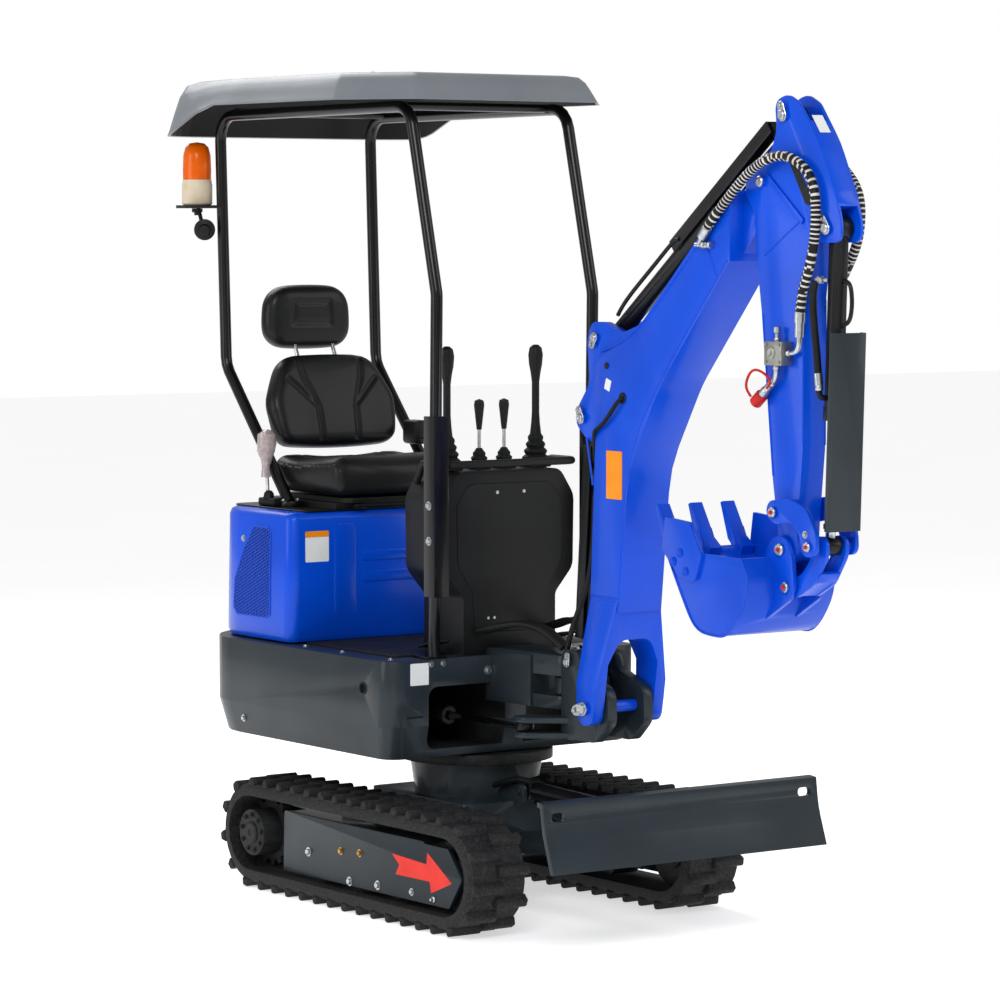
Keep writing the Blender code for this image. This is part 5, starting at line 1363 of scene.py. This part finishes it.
    def build(self) -> None:
        """Builds all the working gear."""
        self.build_rams()
        self.build_boom()
        self.build_arm()
        self.build_linkage()


@dataclass
class Hydraulics:
    """The hoses, ferrules, valve block and coupler on the boom and arm."""

    hose_radius: float = 0.0125
    band: float = 0.0034

    def spiral_hose(self, name: str, points: Sequence[Sequence[float]]) -> None:
        """Lays a wrapped hose from the boom to the arm, bending at the arm's pivot."""
        path = curve_through(points, self.band)
        shape = sweep(path, self.hose_radius, 14)
        centres = path
        for face in shape.faces:
            middle = face.calc_center_median()
            index = min(range(len(centres)), key=lambda i: (centres[i] - middle).length_squared)
            face.material_index = (index % 3) // 2
        obj = piece(name, shape, None, [HOSE_RUBBER, WHITE_WRAP])
        for finish_index in (0, 1):
            assert obj.data.materials[finish_index] is not None
        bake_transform(obj)

    def build_head_hoses(self) -> None:
        """Builds the two wrapped hoses that arch over the arm's head."""
        for side, s, bulge in (("right", -1, 0.0), ("left", 1, 0.035)):
            points = [
                (s * 0.082, -1.128, 1.858), (s * 0.084, -1.165, 1.893), (s * 0.078, -1.225, 1.950), (s * 0.071, -1.290, 2.006), (s * 0.064, -1.365, 2.044),
                (s * 0.061, -1.440, 2.044 + bulge * 0.2), (s * 0.0575, -1.508, 2.004 + bulge * 0.3), (s * 0.056, -1.534 - bulge, 1.938 + bulge * 0.3),
                (s * 0.056, -1.531 - bulge, 1.845), (s * 0.0555, -1.510 - bulge * 0.4, 1.770), (s * 0.055, -1.486, 1.715), (s * 0.055, -1.474, 1.655),
            ]
            self.spiral_hose("wrapped_hose_" + side, points)
            low = [Vector((s * 0.055, -1.4745, 1.660)), Vector((s * 0.055, -1.4735, 1.635)), Vector((s * 0.055, -1.472, 1.600))]
            collar = [sweep(low[:2], 0.0140, 18), sweep(low[1:], 0.0118, 18), tube([(s * 0.055, -1.472, 1.603), (s * 0.055, -1.471, 1.578), (s * 0.056, -1.461, 1.563), (s * 0.057, -1.445, 1.559), (s * 0.057, -1.425, 1.559)], 0.0062, 12)]
            collar.append(hex_nut((s * 0.057, -1.440, 1.559), (0, 1, 0), 0.0095, 0.012))
            piece("arm_hose_fitting_" + side, gather(collar), Body.ARM, [BRIGHT_ZINC])
            start = [Vector((s * 0.0805, -1.105, 1.830)), Vector((s * 0.082, -1.118, 1.846)), Vector((s * 0.083, -1.140, 1.869))]
            high = [sweep(start[1:], 0.0138, 18), tube([(s * 0.0825, -1.120, 1.848), (s * 0.080, -1.104, 1.832), (s * 0.079, -1.100, 1.824)], 0.0065, 12)]
            high.append(tube([(s * 0.079, -1.088, 1.826), (s * 0.079, -1.145, 1.826)], 0.006, 12, 0.02))
            high.append(hex_nut((s * 0.079, -1.112, 1.826), (0, -1, 0), 0.010, 0.014))
            high.append(hex_nut((s * 0.079, -1.140, 1.826), (0, -1, 0), 0.0105, 0.012))
            high.append(block((min(s * 0.069, s * 0.0845), max(s * 0.069, s * 0.0845)), (-1.137, -1.125), (1.819, 1.833), 0.0015))
            piece("boom_hose_fitting_" + side, gather(high), Body.BOOM, [BRIGHT_ZINC])

    def build_valve(self) -> None:
        """Builds the two valve blocks with their fittings, couplers and red caps."""
        for side, s in (("right", -1), ("left", 1)):
            x0, x1 = sorted((s * 0.0365, s * 0.074))
            body = soften(block((x0, x1), (-1.426, -1.358), (1.528, 1.588)), 0.002)
            face = [lathe([(0, 0), (0.016, 0), (0.016, 0.002), (0.010, 0.004), (0.006, 0.002), (0, 0.002)], (s * 0.074, -1.385, 1.560), (s, 0, 0), 24)]
            face += [lathe([(0, 0), (0.004, 0), (0.004, 0.003), (0, 0.003)], (s * 0.074, y, z), (s, 0, 0), 10) for y in (-1.366, -1.418) for z in (1.536, 1.580)]
            piece("valve_block_" + side, gather([body, *face]), Body.ARM, [VALVE_ALLOY])
            x = s * 0.056
            parts = [hex_nut((x, -1.388, 1.587), (0, 0, 1), 0.0085, 0.010), lathe([(0, 0), (0.0055, 0), (0.0055, 0.012), (0.009, 0.014), (0.009, 0.028), (0.0065, 0.030), (0, 0.030)], (x, -1.388, 1.595), (0, 0, 1), 16)]
            parts += [hex_nut((x, -1.385, 1.529), (0, 0, -1), 0.009, 0.012), tube([(x, -1.385, 1.520), (x, -1.384, 1.502), (x, -1.374, 1.487), (x, -1.360, 1.478)], 0.0075, 12)]
            way = Vector((0, 0.78, -0.62)).normalized()
            spot = Vector((x, -1.372, 1.486))
            parts += [hex_nut(spot, way, 0.011, 0.014), lathe([(0, 0), (0.0105, 0), (0.0105, 0.020), (0.0125, 0.022), (0.0125, 0.050), (0, 0.050)], spot + way * 0.012, way, 20)]
            piece("coupler_" + side, gather(parts), Body.ARM, [BRIGHT_ZINC])
            cap = lathe([(0, 0), (0.0150, 0), (0.0165, 0.003), (0.0165, 0.034), (0.0145, 0.037), (0, 0.037)], spot + way * 0.052, way, 24)
            out = spot + way * 0.082
            strap = tube([out + Vector((s * 0.010, 0.010, 0.012)), out + Vector((s * 0.020, 0.020, 0.040)), spot + Vector((s * 0.022, 0.055, 0.030)), spot + Vector((s * 0.020, 0.010, 0.022)), spot + Vector((s * 0.014, -0.008, 0.0)), spot + Vector((s * 0.012, 0.010, -0.016))], 0.0034, 8)
            piece("dust_cap_" + side, gather([cap, strap]), Body.ARM, [RED_RUBBER])

    def build_ram_hoses(self) -> None:
        """Builds the short hose and the steel line on the bucket ram."""
        hose = curve_through([(-0.046, -1.522, 1.738), (-0.047, -1.514, 1.70), (-0.047, -1.520, 1.63), (-0.046, -1.530, 1.56), (-0.046, -1.537, 1.50)], 0.005)
        piece("bucket_ram_hose", sweep(hose, 0.0095, 12), Body.BUCKET_BARREL, [HOSE_RUBBER])
        ferrule = [sweep([Vector((-0.046, -1.5355, 1.512)), Vector((-0.046, -1.5395, 1.482))], 0.0108, 16), hex_nut((-0.046, -1.5395, 1.484), (0, 0, -1), 0.0105, 0.014)]
        ferrule += [hex_nut((-0.030, -1.532, 1.742), (-1, 0, 0), 0.010, 0.016), tube([(-0.026, -1.545, 1.742), (-0.046, -1.522, 1.742)], 0.005, 10)]
        piece("bucket_ram_ferrule", gather(ferrule), Body.BUCKET_BARREL, [BRIGHT_ZINC])
        line = tube([(0, -1.572, 1.742), (0, -1.600, 1.732), (0, -1.607, 1.700), (0, -1.607, 1.672), (0, -1.598, 1.640), (0, -1.570, 1.628)], 0.0055, 12)
        elbow = tube([(-0.046, -1.540, 1.474), (-0.046, -1.541, 1.458), (-0.038, -1.545, 1.452), (-0.020, -1.547, 1.452)], 0.0075, 12)
        piece("bucket_ram_steel_line", gather([line, elbow]), Body.BUCKET_BARREL, [RAM_ENAMEL], Slot.RAM)
        arm_line = [tube([(x, y, z) for y, z in ((-0.700, 1.640), (-0.742, 1.685), (-0.860, 1.775), (-0.940, 1.836), (-0.962, 1.840))], 0.0055, 10) for x in (-0.034, 0.034)]
        piece("arm_ram_steel_lines", gather(arm_line), None, [RAM_ENAMEL], Slot.RAM)
        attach(bpy.data.objects["arm_ram_steel_lines"], "arm_ram_barrel")

    def build_slack_hoses(self) -> None:
        """Builds the hoses over the swing pin and over the boom's foot."""
        bundle = [tube([(x * 1.2, -0.172, 0.765), (x * 1.3, -0.22, 0.775), (x, -0.33, 0.80), (x * 0.85, -0.43, 0.79), (x * 0.7, -0.505, 0.745)], 0.009, 10) for x in (-0.10, -0.075, 0.075, 0.10)]
        obj = piece("swing_hoses", gather(bundle), None, [HOSE_RUBBER])
        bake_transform(obj)
        bundle = [tube([(x, -0.512, 0.735), (x * 1.1, -0.545, 0.80), (x * 1.1, -0.590, 0.88), (x, -0.618, 0.96), (x * 0.9, -0.626, 1.06), (x * 0.9, -0.630, 1.16)], 0.008, 10) for x in (-0.062, 0.062)]
        obj = piece("boom_foot_hoses", gather(bundle), None, [HOSE_RUBBER])
        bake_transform(obj)

    def build(self) -> None:
        """Builds every hose and fitting."""
        self.build_head_hoses()
        self.build_valve()
        self.build_ram_hoses()
        self.build_slack_hoses()


def hex_nut(place: Sequence[float], direction: Sequence[float], radius: float, tall: float) -> bmesh.types.BMesh:
    """A chamfered hexagon nut standing on a place."""
    nut = bmesh.new()
    bmesh.ops.create_cone(nut, cap_ends=True, segments=6, radius1=radius, radius2=radius, depth=tall)
    soften(nut, radius * 0.1, 1, 40)
    bmesh.ops.translate(nut, verts=nut.verts, vec=(0, 0, tall / 2))
    return moved(nut, aim(place, direction))


# ---- studio ---------------------------------------------------------------------------


@dataclass
class Studio:
    """The pale floor, the soft lights and the camera."""

    camera_place: tuple[float, float, float] = (-6.3608, -9.1048, 1.8722)
    camera_turn: tuple[float, float, float] = (math.pi / 2 - 0.0683, 0.0, -0.6158)
    sensor_mm: float = 36.0
    focal_pixels: float = 3994.93
    lights: list[tuple[tuple[float, float, float], float, float]] = field(
        default_factory=lambda: [((-4.5, -5.0, 5.5), 230.0, 3.0), ((4.5, -4.5, 4.0), 90.0, 3.5), ((0.5, 4.5, 5.5), 200.0, 4.0), ((-5.5, 1.5, 2.5), 60.0, 2.5)]
    )

    def build_floor(self) -> None:
        """Lays the floor just under the tracks."""
        shape = bmesh.new()
        bmesh.ops.create_grid(shape, x_segments=1, y_segments=1, size=30.0)
        mesh = bpy.data.meshes.new("studio_floor")
        bmesh.ops.translate(shape, verts=shape.verts, vec=(0, 0, -0.001))
        shape.to_mesh(mesh)
        shape.free()
        obj = bpy.data.objects.new("studio_floor", mesh)
        bpy.context.scene.collection.objects.link(obj)
        # Seamless paper: near white, so only a faint contact shadow shows on it.
        paper = Finish("seamless_white_paper", "#F4F4F4", "#F1F1F1", (0.85, 0.9), 800, relief_mm=0.0, glow=0.62)
        mesh.materials.append(paper.material())

    def build(self) -> None:
        """Builds the floor, lights, backdrop light and camera."""
        self.build_floor()
        for index, (place, power, size) in enumerate(self.lights):
            light = bpy.data.lights.new(f"softbox_{index}", "AREA")
            light.energy, light.size = power, size
            obj = bpy.data.objects.new(light.name, light)
            obj.location = place
            obj.rotation_euler = (Vector((0, 0, 1.0)) - Vector(place)).to_track_quat("-Z", "Y").to_euler()
            bpy.context.scene.collection.objects.link(obj)
        world = bpy.data.worlds.new("studio_world")
        world.use_nodes = True
        tree = world.node_tree
        tree.nodes.clear()
        seen = add_node(tree, "ShaderNodeLightPath", {}, {}).outputs["Is Camera Ray"]
        strength = add_node(tree, "ShaderNodeMapRange", {"To Min": 0.42, "To Max": 1.0}, {"Value": seen})
        back = add_node(tree, "ShaderNodeBackground", {"Color": linear("#FFFFFF")}, {"Strength": strength.outputs["Result"]})
        add_node(tree, "ShaderNodeOutputWorld", {}, {"Surface": back.outputs["Background"]})
        bpy.context.scene.world = world
        bpy.context.scene.view_settings.view_transform = "Standard"
        camera = bpy.data.cameras.new("camera")
        camera.sensor_width = self.sensor_mm
        camera.lens = self.focal_pixels * self.sensor_mm / 1000
        obj = bpy.data.objects.new("camera", camera)
        x, y, z = self.camera_place
        obj.location = (x, y + AXIS_Y, z)
        obj.rotation_euler = self.camera_turn
        bpy.context.scene.collection.objects.link(obj)
        bpy.context.scene.camera = obj


def main() -> None:
    """Builds every sub-assembly in order."""
    logging.basicConfig(level=logging.INFO, format="%(message)s")
    for part in (Studio(), Tracks(), Blade(), DeckAndHood(), Seat(), ControlTower(), Canopy(), WorkingGear(), Hydraulics()):
        LOG.info("building %s", type(part).__name__)
        part.build()


if __name__ == "__main__":
    main()
